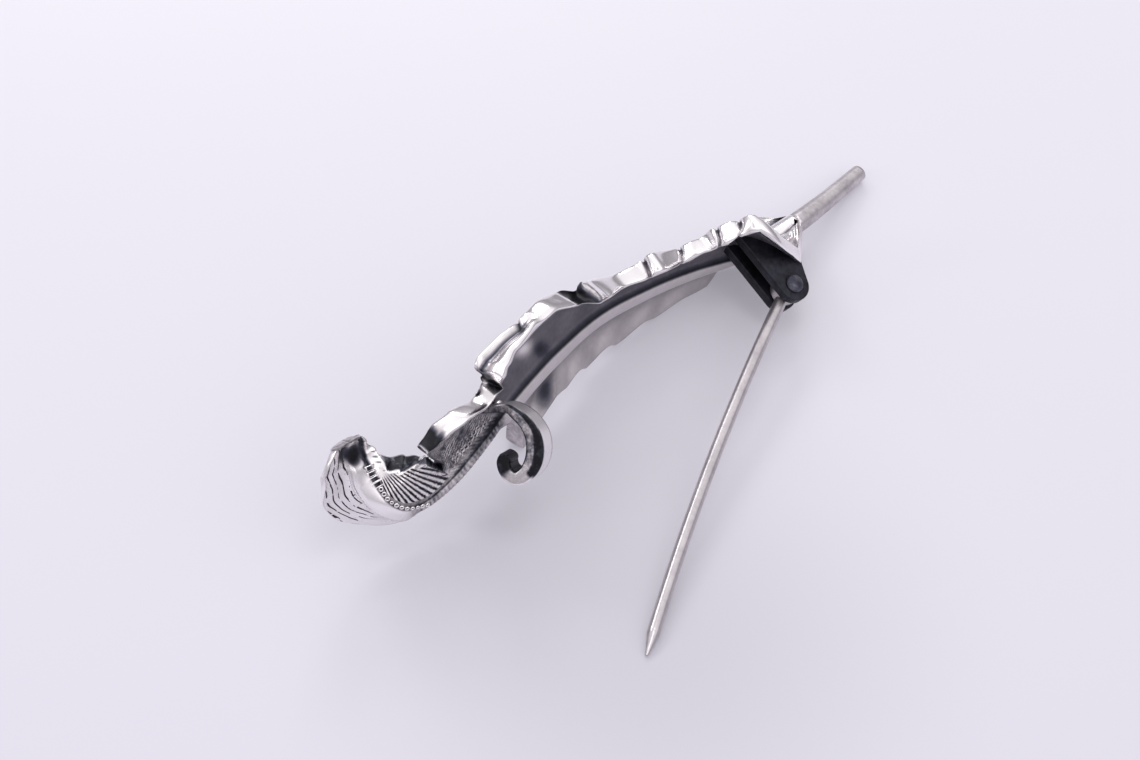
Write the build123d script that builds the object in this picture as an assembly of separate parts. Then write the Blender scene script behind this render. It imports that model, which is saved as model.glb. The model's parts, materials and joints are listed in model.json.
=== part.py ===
from build123d import *

import math
import os

os.makedirs("parts", exist_ok=True)

# Driving dimensions of the feather, in millimetres and degrees
FEATHER_LENGTH = 54.7
SHAFT_SWAY = 5.7
ARCH_RISE = 5.9
HINGE_FROM_QUILL = 15.3
QUILL_RADIUS = 0.85
QUILL_END_RADIUS = 0.65
SHAFT_WIDTH = 1.9
SHAFT_HEIGHT = 1.9
UPPER_REACH = 5.6
LOWER_REACH = 4.9
VANE_WALL = 1.0
RIM_WALL = 1.7
VANE_HOLLOW = 0.7
BARB_RELIEF = 0.16
BARB_PITCH = 1.05
BARB_SLANT = 48.0

# Driving dimensions of the hinge, the pin and the catch
WIRE = 1.0
PIN_LENGTH = 34.4
PIN_BOW = 0.55
PIN_POINT = 1.9
PIN_POINT_RADIUS = 0.12
OPEN_ANGLE = 30.4
EYE_RADIUS = 1.15
EYE_WIDTH = 1.0
RIVET_RADIUS = 0.42
RIVET_HEAD_RADIUS = 0.75
RIVET_HEAD_HEIGHT = 0.35
RUNNING_CLEARANCE = 0.05
SIDE_CLEARANCE = 0.08
RIVET_GAP = 0.02
EAR_WALL = 0.8
EAR_RADIUS = 1.35
EAR_FOOT = 2.1
CATCH_FROM_HINGE = 29.0
CATCH_BAND = 1.9
CATCH_WALL = 0.85
CATCH_WIDTH = 4.1
CATCH_TURN = 30.0

# Line of the shaft, from the quill end to the tip of the feather
# along: share of FEATHER_LENGTH, sway: of SHAFT_SWAY, rise: of ARCH_RISE, roll: degrees
SHAFT_LINE = [
    # along, sway, rise, roll
    (0.000, -0.56, 0.84, 0.0),
    (0.085, -0.48, 0.75, 0.0),
    (0.150, -0.44, 0.70, -26.0),
    (0.205, -0.46, 0.68, -52.0),
    (0.258, -0.48, 0.73, -20.0),
    (0.305, -0.50, 0.81, 6.0),
    (0.370, -0.52, 0.92, 14.0),
    (0.450, -0.53, 1.00, 20.0),
    (0.550, -0.53, 1.02, 27.0),
    (0.655, -0.49, 0.86, 36.0),
    (0.748, -0.46, 0.64, 40.0),
    (0.815, -0.53, 0.41, 41.0),
    (0.874, -0.74, 0.22, 40.0),
    (0.923, -0.91, 0.15, 32.0),
    (0.958, -1.00, 0.21, 24.0),
    (0.983, -0.97, 0.44, 16.0),
    (0.997, -0.85, 0.77, 10.0),
    (1.000, -0.71, 1.05, 6.0),
    (0.997, -0.57, 1.29, 4.0),
]

# Each vane at the foot of its barbs, measured along the shaft
# station: share of the shaft's length, reach: share of UPPER_REACH, fold: degrees to the front
UPPER_VANE = [
    # station, reach, fold
    (0.150, 0.90, 0.0),
    (0.185, 1.16, 0.0),
    (0.225, 0.94, 0.0),
    (0.250, 0.86, 0.0),
    (0.285, 0.62, 0.0),
    (0.320, 0.57, 0.0),
    (0.355, 0.65, 0.0),
    (0.395, 0.55, 0.0),
    (0.425, 0.54, 0.0),
    (0.455, 0.70, 0.0),
    (0.500, 1.01, 0.0),
    (0.530, 1.08, 0.0),
    (0.560, 1.04, 0.0),
    (0.615, 1.15, 0.0),
    (0.632, 1.03, 0.0),
    (0.653, 0.72, 0.0),
    (0.682, 0.66, 0.0),
    (0.700, 0.77, 0.0),
    (0.770, 0.90, 0.0),
    (0.860, 0.74, 0.0),
    (0.920, 0.50, 0.0),
    (0.960, 0.28, 0.0),
    (1.000, 0.18, 0.0),
]
# station: share of the shaft's length, reach: share of LOWER_REACH, fold: degrees to the front
LOWER_VANE = [
    # station, reach, fold
    (0.150, 0.42, 0.0),
    (0.210, 0.68, 0.0),
    (0.270, 0.82, 0.0),
    (0.330, 0.93, 0.0),
    (0.380, 0.97, 0.0),
    (0.450, 0.94, 0.0),
    (0.500, 0.92, 2.0),
    (0.525, 1.00, 4.0),
    (0.560, 1.46, 10.0),
    (0.585, 1.24, 12.0),
    (0.625, 0.84, 34.0),
    (0.670, 0.80, 50.0),
    (0.780, 0.76, 44.0),
    (0.840, 0.69, 32.0),
    (0.900, 0.69, 20.0),
    (0.940, 0.63, 8.0),
    (1.000, 0.62, 0.0),
]

# Clefts between the groups of barbs, at the foot of the cleft
UPPER_CLEFTS = [
    # station, share of the reach taken away, length in millimetres
    (0.258, 0.20, 0.8),
    (0.322, 0.16, 0.8),
    (0.384, 0.18, 0.8),
    (0.466, 0.28, 1.0),
    (0.560, 0.14, 0.8),
    (0.664, 0.16, 0.8),
    (0.776, 0.76, 1.4),
]
LOWER_CLEFTS = [
    (0.265, 0.20, 1.0),
    (0.330, 0.22, 1.0),
    (0.400, 0.22, 1.0),
    (0.470, 0.22, 1.0),
    (0.530, 0.36, 1.0),
    (0.605, 0.44, 1.2),
    (0.690, 0.30, 1.2),
    (0.780, 0.34, 1.2),
]

# Section across a vane, from the shaft's centre line to the rim
ACROSS = [
    # share from the shaft's foot to the rim, wall: 0 vane, 1 rim, relief: share of BARB_RELIEF
    (0.00, 0.00, 1.0),
    (0.25, 0.00, 1.0),
    (0.50, 0.05, 1.0),
    (0.74, 0.45, 0.7),
    (0.92, 1.00, 0.2),
    (1.00, 0.62, 0.0),
]

# Curl of the catch in its own plane, from the back of the vane to its inner end
CATCH_CURL = [
    # aside and down: shares of CATCH_WIDTH from the shut pin
    (0.12, 0.88),
    (0.32, 0.74),
    (0.46, 0.44),
    (0.45, 0.08),
    (0.25, -0.23),
    (-0.06, -0.39),
    (-0.35, -0.37),
    (-0.46, -0.15),
    (-0.41, 0.05),
    (-0.25, 0.13),
]

# Where things sit and how they narrow, as shares, with the groove beside the shaft in millimetres
FIRST_BARB = 0.150
BACK_CARVING_FROM = 0.70
CATCH_FOOT_STATION = 0.690
CATCH_FOOT_SHARE = 0.45
SHOULDER_SHARE = 0.8
SHOULDER_HEIGHT_SHARE = 0.72
TIP_SHAFT_SHARE = 0.72
BACK_SHAFT_SHARE = 0.8
SHAFT_GROOVE = 0.25
LARGEST_FOOT_SHARE = 0.6
TIP_ROOM_SHARE = 0.85
STEM_START_SHARE = 0.6

# Fineness of the surface and of the search for the resting place
QUILL_RINGS = 7
TABLE_STEPS = 12
CURL_STEPS = 4
SEARCH_STEPS = 160
SEARCH_COLUMNS = 8
TILT_ROUNDS = 10
TILT_DIVIDE = 5.0
UP_BEFORE_TILTING = (0.173, 0.838, 0.517)
VIEWER_RIGHT = (-0.693, 0.476, -0.541)


def blend(low, high, share):
    """Value between two numbers or vectors."""
    return low + (high - low) * share


def look_up(table, station, column):
    """Value of a table's column at a station, eased between its rows."""
    if station <= table[0][0]:
        return table[0][column]
    for row, following in zip(table, table[1:]):
        if station <= following[0]:
            share = (station - row[0]) / (following[0] - row[0])
            return blend(row[column], following[column], share * share * (3 - 2 * share))
    return table[-1][column]


def through(before, first, second, after, share):
    """Point of a smooth curve that passes through its rows."""
    square = share * share
    cube = square * share
    return (
        before * (-0.5 * cube + square - 0.5 * share)
        + first * (1.5 * cube - 2.5 * square + 1.0)
        + second * (-1.5 * cube + 2.0 * square + 0.5 * share)
        + after * (0.5 * cube - 0.5 * square)
    )


def shaft_samples():
    """Distance, place and roll at close steps along the shaft."""
    rows = []
    for along, sway, rise, roll in SHAFT_LINE:
        place = Vector(
            along * FEATHER_LENGTH - HINGE_FROM_QUILL, sway * SHAFT_SWAY, rise * ARCH_RISE
        )
        rows.append((place, roll))
    samples = []
    distance = 0.0
    for index in range(len(rows) - 1):
        before = rows[max(index - 1, 0)]
        first = rows[index]
        second = rows[index + 1]
        after = rows[min(index + 2, len(rows) - 1)]
        for step in range(TABLE_STEPS):
            share = step / TABLE_STEPS
            place = through(before[0], first[0], second[0], after[0], share)
            if samples:
                distance += (place - samples[-1][1]).length
            samples.append((distance, place, blend(first[1], second[1], share)))
    distance += (rows[-1][0] - samples[-1][1]).length
    samples.append((distance, rows[-1][0], rows[-1][1]))
    return samples


SAMPLES = shaft_samples()
SHAFT_LENGTH = SAMPLES[-1][0]


def shaft_frame(station):
    """Place, direction across the vanes and direction to the front at a share of the shaft."""
    distance = min(max(station, 0.0), 1.0) * SHAFT_LENGTH
    index = 0
    while index < len(SAMPLES) - 2 and SAMPLES[index + 1][0] < distance:
        index += 1
    start, first, first_roll = SAMPLES[index]
    end, second, second_roll = SAMPLES[index + 1]
    share = (distance - start) / (end - start)
    ahead = SAMPLES[min(index + 2, len(SAMPLES) - 1)][1]
    behind = SAMPLES[max(index - 1, 0)][1]
    along = (ahead - behind).normalized()
    level = Vector(0, 0, 1).cross(along).normalized()
    roll = math.radians(blend(first_roll, second_roll, share))
    across = level * math.cos(roll) + along.cross(level) * math.sin(roll)
    return blend(first, second, share), across, along.cross(across)


def reach_of(station, upper):
    """Reach of a barb in millimetres, with the clefts between the groups."""
    table = UPPER_VANE if upper else LOWER_VANE
    reach = look_up(table, station, 1) * (UPPER_REACH if upper else LOWER_REACH)
    for foot, depth, length in UPPER_CLEFTS if upper else LOWER_CLEFTS:
        offset = (station - foot) * SHAFT_LENGTH / length
        if abs(offset) < 1.0:
            reach *= 1.0 - depth * (1.0 - offset * offset)
    return reach


def vane_place(station, upper, share):
    """Point of the vane's middle surface and its front direction, on the barb rooted at station."""
    reach = reach_of(station, upper)
    slope = reach / math.tan(math.radians(BARB_SLANT)) / SHAFT_LENGTH
    room = TIP_ROOM_SHARE * (1.0 - station)
    advance = slope * room / (slope + room)
    place, across, front = shaft_frame(station + advance * share)
    fold = math.radians(look_up(UPPER_VANE if upper else LOWER_VANE, station, 2))
    outward = across if upper else -across
    facing = front * math.cos(fold) - outward * math.sin(fold)
    outward = outward * math.cos(fold) + front * math.sin(fold)
    hollow = 4.0 * VANE_HOLLOW * share * (1.0 - share) * min(1.0, reach / UPPER_REACH)
    return place + outward * reach * share + facing * hollow, facing


def ring_of_vane(station, ridge):
    """Closed ring of points round the shaft and both vanes, for the barb rooted at station."""
    place, across, front = shaft_frame(station)
    narrowing = blend(1.0, TIP_SHAFT_SHARE, station)
    crest = SHAFT_HEIGHT / 2 * narrowing
    keel = crest * BACK_SHAFT_SHARE
    shoulder = SHAFT_WIDTH / 2 * narrowing
    faces = {}
    for upper in (False, True):
        side = 1 if upper else -1
        middle = place + across * (side * shoulder * SHOULDER_SHARE)
        front_side = [middle + front * crest * SHOULDER_HEIGHT_SHARE]
        back_side = [middle - front * keel * SHOULDER_HEIGHT_SHARE]
        foot = min(LARGEST_FOOT_SHARE, (shoulder + SHAFT_GROOVE) / reach_of(station, upper))
        for share, rim, relief in ACROSS:
            point, facing = vane_place(station, upper, blend(foot, 1.0, share))
            wall = blend(VANE_WALL, RIM_WALL, rim)
            raised = BARB_RELIEF * relief * ridge
            carved = raised if station > BACK_CARVING_FROM else 0.0
            front_side.append(point + facing * (wall / 2 + raised))
            back_side.append(point - facing * (wall / 2 + carved))
        faces[upper] = (front_side, back_side)
    ring = list(reversed(faces[False][0])) + [place + front * crest] + faces[True][0]
    ring += list(reversed(faces[True][1])) + [place - front * keel] + faces[False][1]
    return ring


def ring_of_quill(station):
    """Round ring of points of the bare quill."""
    place, across, front = shaft_frame(station)
    radius = blend(QUILL_END_RADIUS, QUILL_RADIUS, station / FIRST_BARB)
    columns = len(ACROSS) + 1
    ring = []
    for index in range(4 * columns + 2):
        turn = math.pi * (index - columns) / (2 * columns + 1)
        ring.append(place + across * radius * math.sin(turn) + front * radius * math.cos(turn))
    return ring


def skin(rings):
    """Solid whose surface joins each ring to the next."""
    faces = []
    for ring, following in zip(rings, rings[1:]):
        for index in range(len(ring)):
            after = (index + 1) % len(ring)
            for corners in (
                (ring[index], ring[after], following[after]),
                (ring[index], following[after], following[index]),
            ):
                faces.append(Face(Wire.make_polygon(corners, close=True)))
    half = len(rings[0]) // 2
    for ring in (rings[0], rings[-1]):
        for index in range(half - 1):
            corners = (ring[index], ring[index + 1], ring[-2 - index], ring[-1 - index])
            faces.append(Face(Wire.make_polygon(corners[:3], close=True)))
            faces.append(Face(Wire.make_polygon((corners[0], corners[2], corners[3]), close=True)))
    return Solid(Shell(faces))


def feather_rings():
    """Rings of the quill, then two rings for each barb, a ridge and a furrow."""
    rings = []
    for index in range(QUILL_RINGS):
        rings.append(ring_of_quill(FIRST_BARB * index / QUILL_RINGS))
    count = 2 * round((1.0 - FIRST_BARB) * SHAFT_LENGTH / BARB_PITCH)
    for index in range(count + 1):
        ridge = 1 if index % 2 else -1
        rings.append(ring_of_vane(blend(FIRST_BARB, 1.0, index / count), ridge))
    return rings


def vane_height(x, y):
    """Height of the middle of the feather above a place beside the hinge."""
    nearest = None
    for step in range(SEARCH_STEPS + 1):
        station = step / SEARCH_STEPS
        for upper in (False, True):
            for column in range(SEARCH_COLUMNS + 1):
                if station < FIRST_BARB:
                    point = shaft_frame(station)[0]
                else:
                    point = vane_place(station, upper, column / SEARCH_COLUMNS)[0]
                offset = (point.X - x) ** 2 + (point.Y - y) ** 2
                if nearest is None or offset < nearest[0]:
                    nearest = (offset, point.Z)
    return nearest[1]


def hinge_ear(side):
    """Ear soldered to the back of the vane, with the rivet's hole through it."""
    inner = EYE_WIDTH / 2 + SIDE_CLEARANCE
    middle = side * (inner + EAR_WALL / 2)
    left = (-EAR_FOOT, vane_height(-EAR_FOOT, middle))
    right = (EAR_FOOT, vane_height(EAR_FOOT, middle))
    outline = make_face(Polyline((-EAR_RADIUS, 0), left, right, (EAR_RADIUS, 0), close=True))
    outline += Circle(EAR_RADIUS)
    outline -= Circle(RIVET_RADIUS + RIVET_GAP)
    plane = Plane((0, middle, 0), x_dir=(1, 0, 0), z_dir=(0, -1, 0))
    return extrude(plane * outline, EAR_WALL / 2, both=True)


def make_catch():
    """Band curled into a hook, soldered to the back of the upper vane."""
    turn = math.radians(CATCH_TURN)
    aside = Vector(-math.sin(turn), math.cos(turn), 0)
    origin = Vector(CATCH_FROM_HINGE, 0, 0)
    foot = vane_place(CATCH_FOOT_STATION, True, CATCH_FOOT_SHARE)[0] - origin
    rows = [Vector(foot.dot(aside), foot.Z)]
    rows += [Vector(across * CATCH_WIDTH, down * CATCH_WIDTH) for across, down in CATCH_CURL]
    line = []
    for index in range(len(rows) - 1):
        before = rows[max(index - 1, 0)]
        after = rows[min(index + 2, len(rows) - 1)]
        for step in range(CURL_STEPS):
            share = step / CURL_STEPS
            line.append(through(before, rows[index], rows[index + 1], after, share))
    line.append(rows[-1])
    left = []
    right = []
    for index, point in enumerate(line):
        along = (line[min(index + 1, len(line) - 1)] - line[max(index - 1, 0)]).normalized()
        normal = Vector(-along.Y, along.X) * (CATCH_WALL / 2)
        left.append(point + normal)
        right.append(point - normal)
    end = line[-1] + (line[-1] - line[-2]).normalized() * (CATCH_WALL / 2)
    corners = left + [end] + list(reversed(right))
    plane = Plane(origin, x_dir=aside, z_dir=aside.cross(Vector(0, 0, 1)))
    outline = make_face(Polyline(*[(corner.X, corner.Y) for corner in corners], close=True))
    return extrude(plane * outline, CATCH_BAND / 2, both=True)


def make_rivet():
    """Rivet through both ears, with a low head on each end."""
    outer = EYE_WIDTH / 2 + SIDE_CLEARANCE + EAR_WALL + RIVET_GAP
    plane = Plane((0, 0, 0), x_dir=(1, 0, 0), z_dir=(0, 1, 0))
    rivet = extrude(plane * Circle(RIVET_RADIUS), outer, both=True)
    for side in (-1, 1):
        head_plane = Plane((0, side * outer, 0), x_dir=(1, 0, 0), z_dir=(0, side, 0))
        rivet += extrude(head_plane * Circle(RIVET_HEAD_RADIUS), RIVET_HEAD_HEIGHT)
    return rivet


def make_pin():
    """Round wire with a flat eye at the hinge and a ground point, opened from the catch."""
    shank = PIN_LENGTH - PIN_POINT
    start = Vector(EYE_RADIUS * STEM_START_SHARE, 0, 0)
    bow = Vector((start.X + shank) / 2, 0, PIN_BOW)
    arc = ThreePointArc(start, bow, Vector(shank, 0, 0))
    stem = sweep(Plane(arc @ 0, z_dir=arc % 0) * Circle(WIRE / 2), path=arc)
    heading = arc % 1
    point = Cone(WIRE / 2, PIN_POINT_RADIUS, PIN_POINT, align=(Align.CENTER, Align.CENTER, Align.MIN))
    point = Plane(arc @ 1, z_dir=heading) * point
    plane = Plane((0, 0, 0), x_dir=(1, 0, 0), z_dir=(0, 1, 0))
    eye = extrude(plane * Circle(EYE_RADIUS), EYE_WIDTH / 2, both=True)
    hole = extrude(plane * Circle(RIVET_RADIUS + RUNNING_CLEARANCE), EYE_WIDTH, both=True)
    pin = stem + point + eye - hole
    return pin.rotate(Axis.Y, OPEN_ANGLE)


def lowest(points, up):
    """Point that lies lowest along a direction."""
    return min(points, key=lambda point: point.dot(up))


def resting_plane(rings):
    """Table that the feather and the open pin stand on, seen with the viewer's right as its x."""
    up = Vector(UP_BEFORE_TILTING).normalized()
    rim = [point for ring in rings for point in ring]
    near = [point for point in rim if point.X > TILT_DIVIDE]
    far = [point for point in rim if point.X <= TILT_DIVIDE]
    shank_end = Vector(PIN_LENGTH - PIN_POINT, 0, 0).rotate(Axis.Y, OPEN_ANGLE)
    heading = shank_end.normalized()
    for _ in range(TILT_ROUNDS):
        touch = shank_end - (up - heading * up.dot(heading)).normalized() * (WIRE / 2)
        first = lowest(near, up)
        second = lowest(far, up)
        normal = (first - touch).cross(second - touch).normalized()
        up = normal if normal.dot(up) > 0 else -normal
    right = Vector(VIEWER_RIGHT)
    right = (right - up * right.dot(up)).normalized()
    return Plane(touch, x_dir=right, z_dir=up)


rings = feather_rings()
feather = skin(rings) + hinge_ear(-1) + hinge_ear(1) + make_catch()
rivet = make_rivet()
pin = make_pin()

table = resting_plane(rings)
standing = {}
for name, solid in (("feather", feather), ("hinge_rivet", rivet), ("pin_stem", pin)):
    standing[name] = table.to_local_coords(solid)
box = standing["feather"].bounding_box()
for name in ("hinge_rivet", "pin_stem"):
    box = box.add(standing[name].bounding_box())
centring = Location((-(box.min.X + box.max.X) / 2, -(box.min.Y + box.max.Y) / 2, -box.min.Z))
for name, solid in standing.items():
    export_step(solid.moved(centring), "parts/" + name + ".step")

hinge = table.to_local_coords(Vector(0, 0, 0)) + centring.position
axis = table.to_local_coords(Vector(0, 1, 0)) + centring.position - hinge
print("hinge", hinge, "axis", axis)
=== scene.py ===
import json
import math
from functools import partial

import bmesh
import bpy
import numpy as np
from mathutils import Matrix, Vector


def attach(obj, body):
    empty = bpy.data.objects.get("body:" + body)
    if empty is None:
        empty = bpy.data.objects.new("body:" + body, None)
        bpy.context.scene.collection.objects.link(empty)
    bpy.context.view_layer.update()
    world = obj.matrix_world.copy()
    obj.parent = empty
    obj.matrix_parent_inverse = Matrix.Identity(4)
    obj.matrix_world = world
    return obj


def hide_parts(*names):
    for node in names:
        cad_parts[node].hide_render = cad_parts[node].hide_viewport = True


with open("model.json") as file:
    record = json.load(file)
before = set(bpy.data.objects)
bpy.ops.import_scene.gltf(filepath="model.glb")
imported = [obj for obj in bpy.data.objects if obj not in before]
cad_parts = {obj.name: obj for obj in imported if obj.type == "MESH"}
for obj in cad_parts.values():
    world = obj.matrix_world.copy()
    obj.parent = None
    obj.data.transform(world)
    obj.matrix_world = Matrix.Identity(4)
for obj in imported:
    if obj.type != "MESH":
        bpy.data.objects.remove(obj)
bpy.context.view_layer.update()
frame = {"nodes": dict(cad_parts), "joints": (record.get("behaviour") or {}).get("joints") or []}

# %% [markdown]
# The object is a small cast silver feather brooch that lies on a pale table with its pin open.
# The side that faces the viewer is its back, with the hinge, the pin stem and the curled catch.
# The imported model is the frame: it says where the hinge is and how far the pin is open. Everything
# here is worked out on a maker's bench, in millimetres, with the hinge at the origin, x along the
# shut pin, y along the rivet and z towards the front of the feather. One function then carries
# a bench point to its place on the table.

MM = 0.001

# %% Sizes of the brooch, in millimetres and degrees
FEATHER_LENGTH = 54.7
SHAFT_SWAY = 5.7
ARCH_RISE = 5.9
HINGE_FROM_QUILL = 15.3
QUILL_RADIUS = 0.85
QUILL_END_RADIUS = 0.65
SHAFT_WIDTH = 1.9
SHAFT_HEIGHT = 1.9
LOWER_REACH = 4.9
VANE_WALL = 1.0
RIM_WALL = 1.7
RIM_FRONT = 0.7
VANE_HOLLOW = 0.7
BARB_SLANT = 48.0
WIRE = 1.0
PIN_LENGTH = 34.4
PIN_BOW = 0.55
PIN_POINT = 1.9
PIN_POINT_RADIUS = 0.12
OPEN_ANGLE = 30.4
EYE_RADIUS = 1.15
EYE_WIDTH = 1.0
STEM_START = 0.69
RIVET_RADIUS = 0.42
RIVET_HEAD_RADIUS = 0.75
RIVET_HEAD_HEIGHT = 0.35
SIDE_CLEARANCE = 0.08
RUNNING_CLEARANCE = 0.05
RIVET_GAP = 0.02
EAR_WALL = 0.8
EAR_RADIUS = 1.35
EAR_FOOT = 2.1
CATCH_FROM_HINGE = 29.0
CATCH_BAND = 1.9
CATCH_WALL = 0.85
CATCH_WIDTH = 4.1
CATCH_TURN = 30.0

# %% Tables of the feather, with lengths as shares of the sizes above
SHAFT_LINE = [
    # along of FEATHER_LENGTH, sway of SHAFT_SWAY, rise of ARCH_RISE, roll in degrees
    (0.000, -0.56, 0.84, 0.0),
    (0.085, -0.48, 0.75, 0.0),
    (0.150, -0.44, 0.70, -26.0),
    (0.205, -0.46, 0.68, -52.0),
    (0.258, -0.48, 0.73, -20.0),
    (0.305, -0.50, 0.81, 6.0),
    (0.370, -0.52, 0.92, 14.0),
    (0.450, -0.53, 1.00, 20.0),
    (0.550, -0.53, 1.02, 27.0),
    (0.655, -0.49, 0.86, 36.0),
    (0.748, -0.46, 0.64, 40.0),
    (0.815, -0.53, 0.41, 41.0),
    (0.874, -0.74, 0.22, 40.0),
    (0.923, -0.91, 0.15, 32.0),
    (0.958, -1.00, 0.21, 24.0),
    (0.983, -0.97, 0.44, 16.0),
    (0.997, -0.85, 0.77, 10.0),
    (1.000, -0.71, 1.05, 6.0),
    (0.997, -0.57, 1.29, 4.0),
]
UPPER_RIM = [
    # station along the shaft, reach of the rim's front and back edges, drop of the back edge, in mm
    (0.150, 5.0, 5.0, 0.6),
    (0.195, 6.2, 6.2, 0.8),
    (0.225, 5.4, 5.4, 0.7),
    (0.250, 4.8, 4.8, 1.0),
    (0.285, 3.4, 3.4, 0.6),
    (0.320, 2.9, 2.9, 0.7),
    (0.360, 3.5, 3.5, 1.2),
    (0.390, 2.9, 2.9, 0.9),
    (0.420, 2.8, 2.8, 0.7),
    (0.455, 3.8, 3.7, 1.4),
    (0.472, 4.6, 4.4, 1.8),
    (0.492, 5.3, 5.0, 1.2),
    (0.530, 6.0, 6.0, 1.0),
    (0.560, 5.8, 5.9, 0.9),
    (0.600, 6.2, 6.2, 1.3),
    (0.624, 6.3, 6.2, 1.7),
    (0.638, 6.0, 5.9, 1.9),
    (0.646, 5.2, 5.2, 1.5),
    (0.655, 3.8, 3.8, 0.9),
    (0.680, 3.5, 3.4, 0.8),
    (0.700, 4.6, 4.3, 1.0),
    (0.722, 5.0, 4.5, 0.8),
    (0.745, 5.0, 4.7, 0.6),
    (0.768, 5.1, 5.0, 0.4),
    (0.774, 2.3, 2.3, 0.4),
    (0.790, 1.8, 1.8, 0.4),
    (0.860, 4.8, 4.9, 0.5),
    (0.880, 4.3, 4.0, 0.5),
    (0.900, 3.7, 2.5, 0.5),
    (0.920, 2.8, 1.8, 0.5),
    (0.940, 2.4, 2.0, 0.5),
    (0.960, 2.4, 1.9, 0.5),
    (0.980, 1.9, 1.4, 0.5),
    (1.000, 1.2, 1.0, 0.4),
]
LOWER_VANE = [
    # station along the shaft, reach of LOWER_REACH, fold to the front in degrees
    (0.150, 0.42, 0.0),
    (0.210, 0.68, 0.0),
    (0.270, 0.82, 0.0),
    (0.330, 0.93, 0.0),
    (0.380, 0.97, 0.0),
    (0.450, 0.94, 0.0),
    (0.500, 0.92, 2.0),
    (0.525, 1.00, 4.0),
    (0.560, 1.44, 10.0),
    (0.585, 1.22, 12.0),
    (0.625, 0.84, 34.0),
    (0.670, 0.80, 50.0),
    (0.780, 0.76, 44.0),
    (0.840, 0.69, 32.0),
    (0.900, 0.69, 20.0),
    (0.940, 0.63, 8.0),
    (1.000, 0.62, 0.0),
]
UPPER_CRACKS = [
    # station where a group of barbs ends, width and depth of the crack in mm, share at the back
    (0.222, 0.17, 0.25, 0.6),
    (0.258, 0.18, 0.35, 0.8),
    (0.323, 0.17, 0.28, 0.7),
    (0.378, 0.18, 0.35, 0.8),
    (0.482, 0.50, 0.50, 1.0),
    (0.574, 0.16, 0.20, 0.0),
    (0.650, 0.34, 0.60, 1.0),
]
LOWER_CLEFTS = [
    # station of the cleft's foot, share of the reach taken away, length in mm
    (0.265, 0.10, 1.3),
    (0.330, 0.12, 1.3),
    (0.400, 0.12, 1.3),
    (0.470, 0.12, 1.3),
    (0.530, 0.16, 1.8),
    (0.605, 0.26, 1.8),
    (0.690, 0.30, 1.2),
    (0.780, 0.34, 1.2),
]
DENTS = [
    # station, place across the shaft (plus is the upper vane), radius, depth and oxide
    (0.982, -0.15, 0.90, 0.36, 1.00),
    (0.988, -1.15, 0.80, 0.20, 0.92),
]
CATCH_CURL = [
    # aside and down: shares of CATCH_WIDTH from the shut pin, then the wall of CATCH_WALL
    (0.12, 0.87, 0.80),
    (0.31, 0.73, 1.00),
    (0.43, 0.43, 1.30),
    (0.40, 0.09, 1.65),
    (0.21, -0.19, 1.70),
    (-0.06, -0.34, 1.50),
    (-0.32, -0.33, 1.30),
    (-0.42, -0.14, 1.25),
    (-0.37, 0.04, 1.25),
    (-0.24, 0.11, 1.10),
]
FIRST_BARB = 0.150
CATCH_FOOT_STATION = 0.690
CATCH_FOOT_SHARE = 0.45
LARGEST_FOOT_SHARE = 0.6
TIP_ROOM_SHARE = 0.85
SHAFT_GROOVE = 0.25
SHOULDER_SHARE = 0.8
TIP_SHAFT_SHARE = 0.72
BACK_SHAFT_SHARE = 0.8
print("tables:", len(SHAFT_LINE), "places on the shaft,", len(UPPER_CRACKS) + len(LOWER_CLEFTS), "clefts")

# %% [markdown]
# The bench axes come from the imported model. The joint gives the hinge's place and the rivet's
# direction. The far end of the pin stem gives the direction of the open pin, and turning that
# back by the opening angle gives the direction of the shut pin. The stem is bowed, so its point
# dips a little below the line that the opening angle is measured on.

# %% Bench axes from the joint and the pin stem
joint = frame["joints"][0]
hinge_place = np.array(joint["pos_m"])
rivet_axis = np.array(joint["axis"]) / np.linalg.norm(joint["axis"])
stem_points = np.array([vertex.co for vertex in frame["nodes"]["pin_stem"].data.vertices])
from_hinge = np.linalg.norm(stem_points - hinge_place, axis=1)
open_line = stem_points[from_hinge > from_hinge.max() - 0.02 * MM].mean(axis=0) - hinge_place
open_line -= rivet_axis * (open_line @ rivet_axis)
open_line /= np.linalg.norm(open_line)
half_stem = (PIN_LENGTH - PIN_POINT - STEM_START) / 2
point_dip = math.atan(PIN_POINT * math.sin(2 * math.atan(PIN_BOW / half_stem)) / PIN_LENGTH)
opened = math.radians(OPEN_ANGLE) + point_dip
shut_line = open_line * math.cos(opened) + np.cross(open_line, rivet_axis) * math.sin(opened)
BENCH = np.stack([shut_line, rivet_axis, np.cross(shut_line, rivet_axis)])


def on_table(points):
    """Bench points in millimetres, as places in the frame in metres."""
    return hinge_place + np.asarray(points) @ BENCH * MM


print("hinge at", hinge_place.round(5), "shut pin runs along", shut_line.round(3))

# %% [markdown]
# The shaft of the feather is a smooth curve through the rows of its table. At each place on it
# a frame of three directions is kept: along the shaft, across to the upper vane, and to the
# front. The curve is sampled once, finely, and any station is then read from those samples.


# %% Smooth curve through rows, and the shaft's frames
def through_rows(rows, steps):
    """Points of a Catmull-Rom curve through the rows, each row a set of numbers."""
    rows = np.array(rows, float)
    padded = np.vstack([rows[:1], rows, rows[-1:]])
    share = np.linspace(0, 1, steps, endpoint=False)[:, None]
    spans = []
    for before, first, second, after in zip(padded, padded[1:], padded[2:], padded[3:]):
        spans.append(
            before * (-0.5 * share**3 + share**2 - 0.5 * share)
            + first * (1.5 * share**3 - 2.5 * share**2 + 1)
            + second * (-1.5 * share**3 + 2 * share**2 + 0.5 * share)
            + after * (0.5 * share**3 - 0.5 * share**2)
        )
    return np.vstack(spans + [rows[-1:]])


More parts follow.
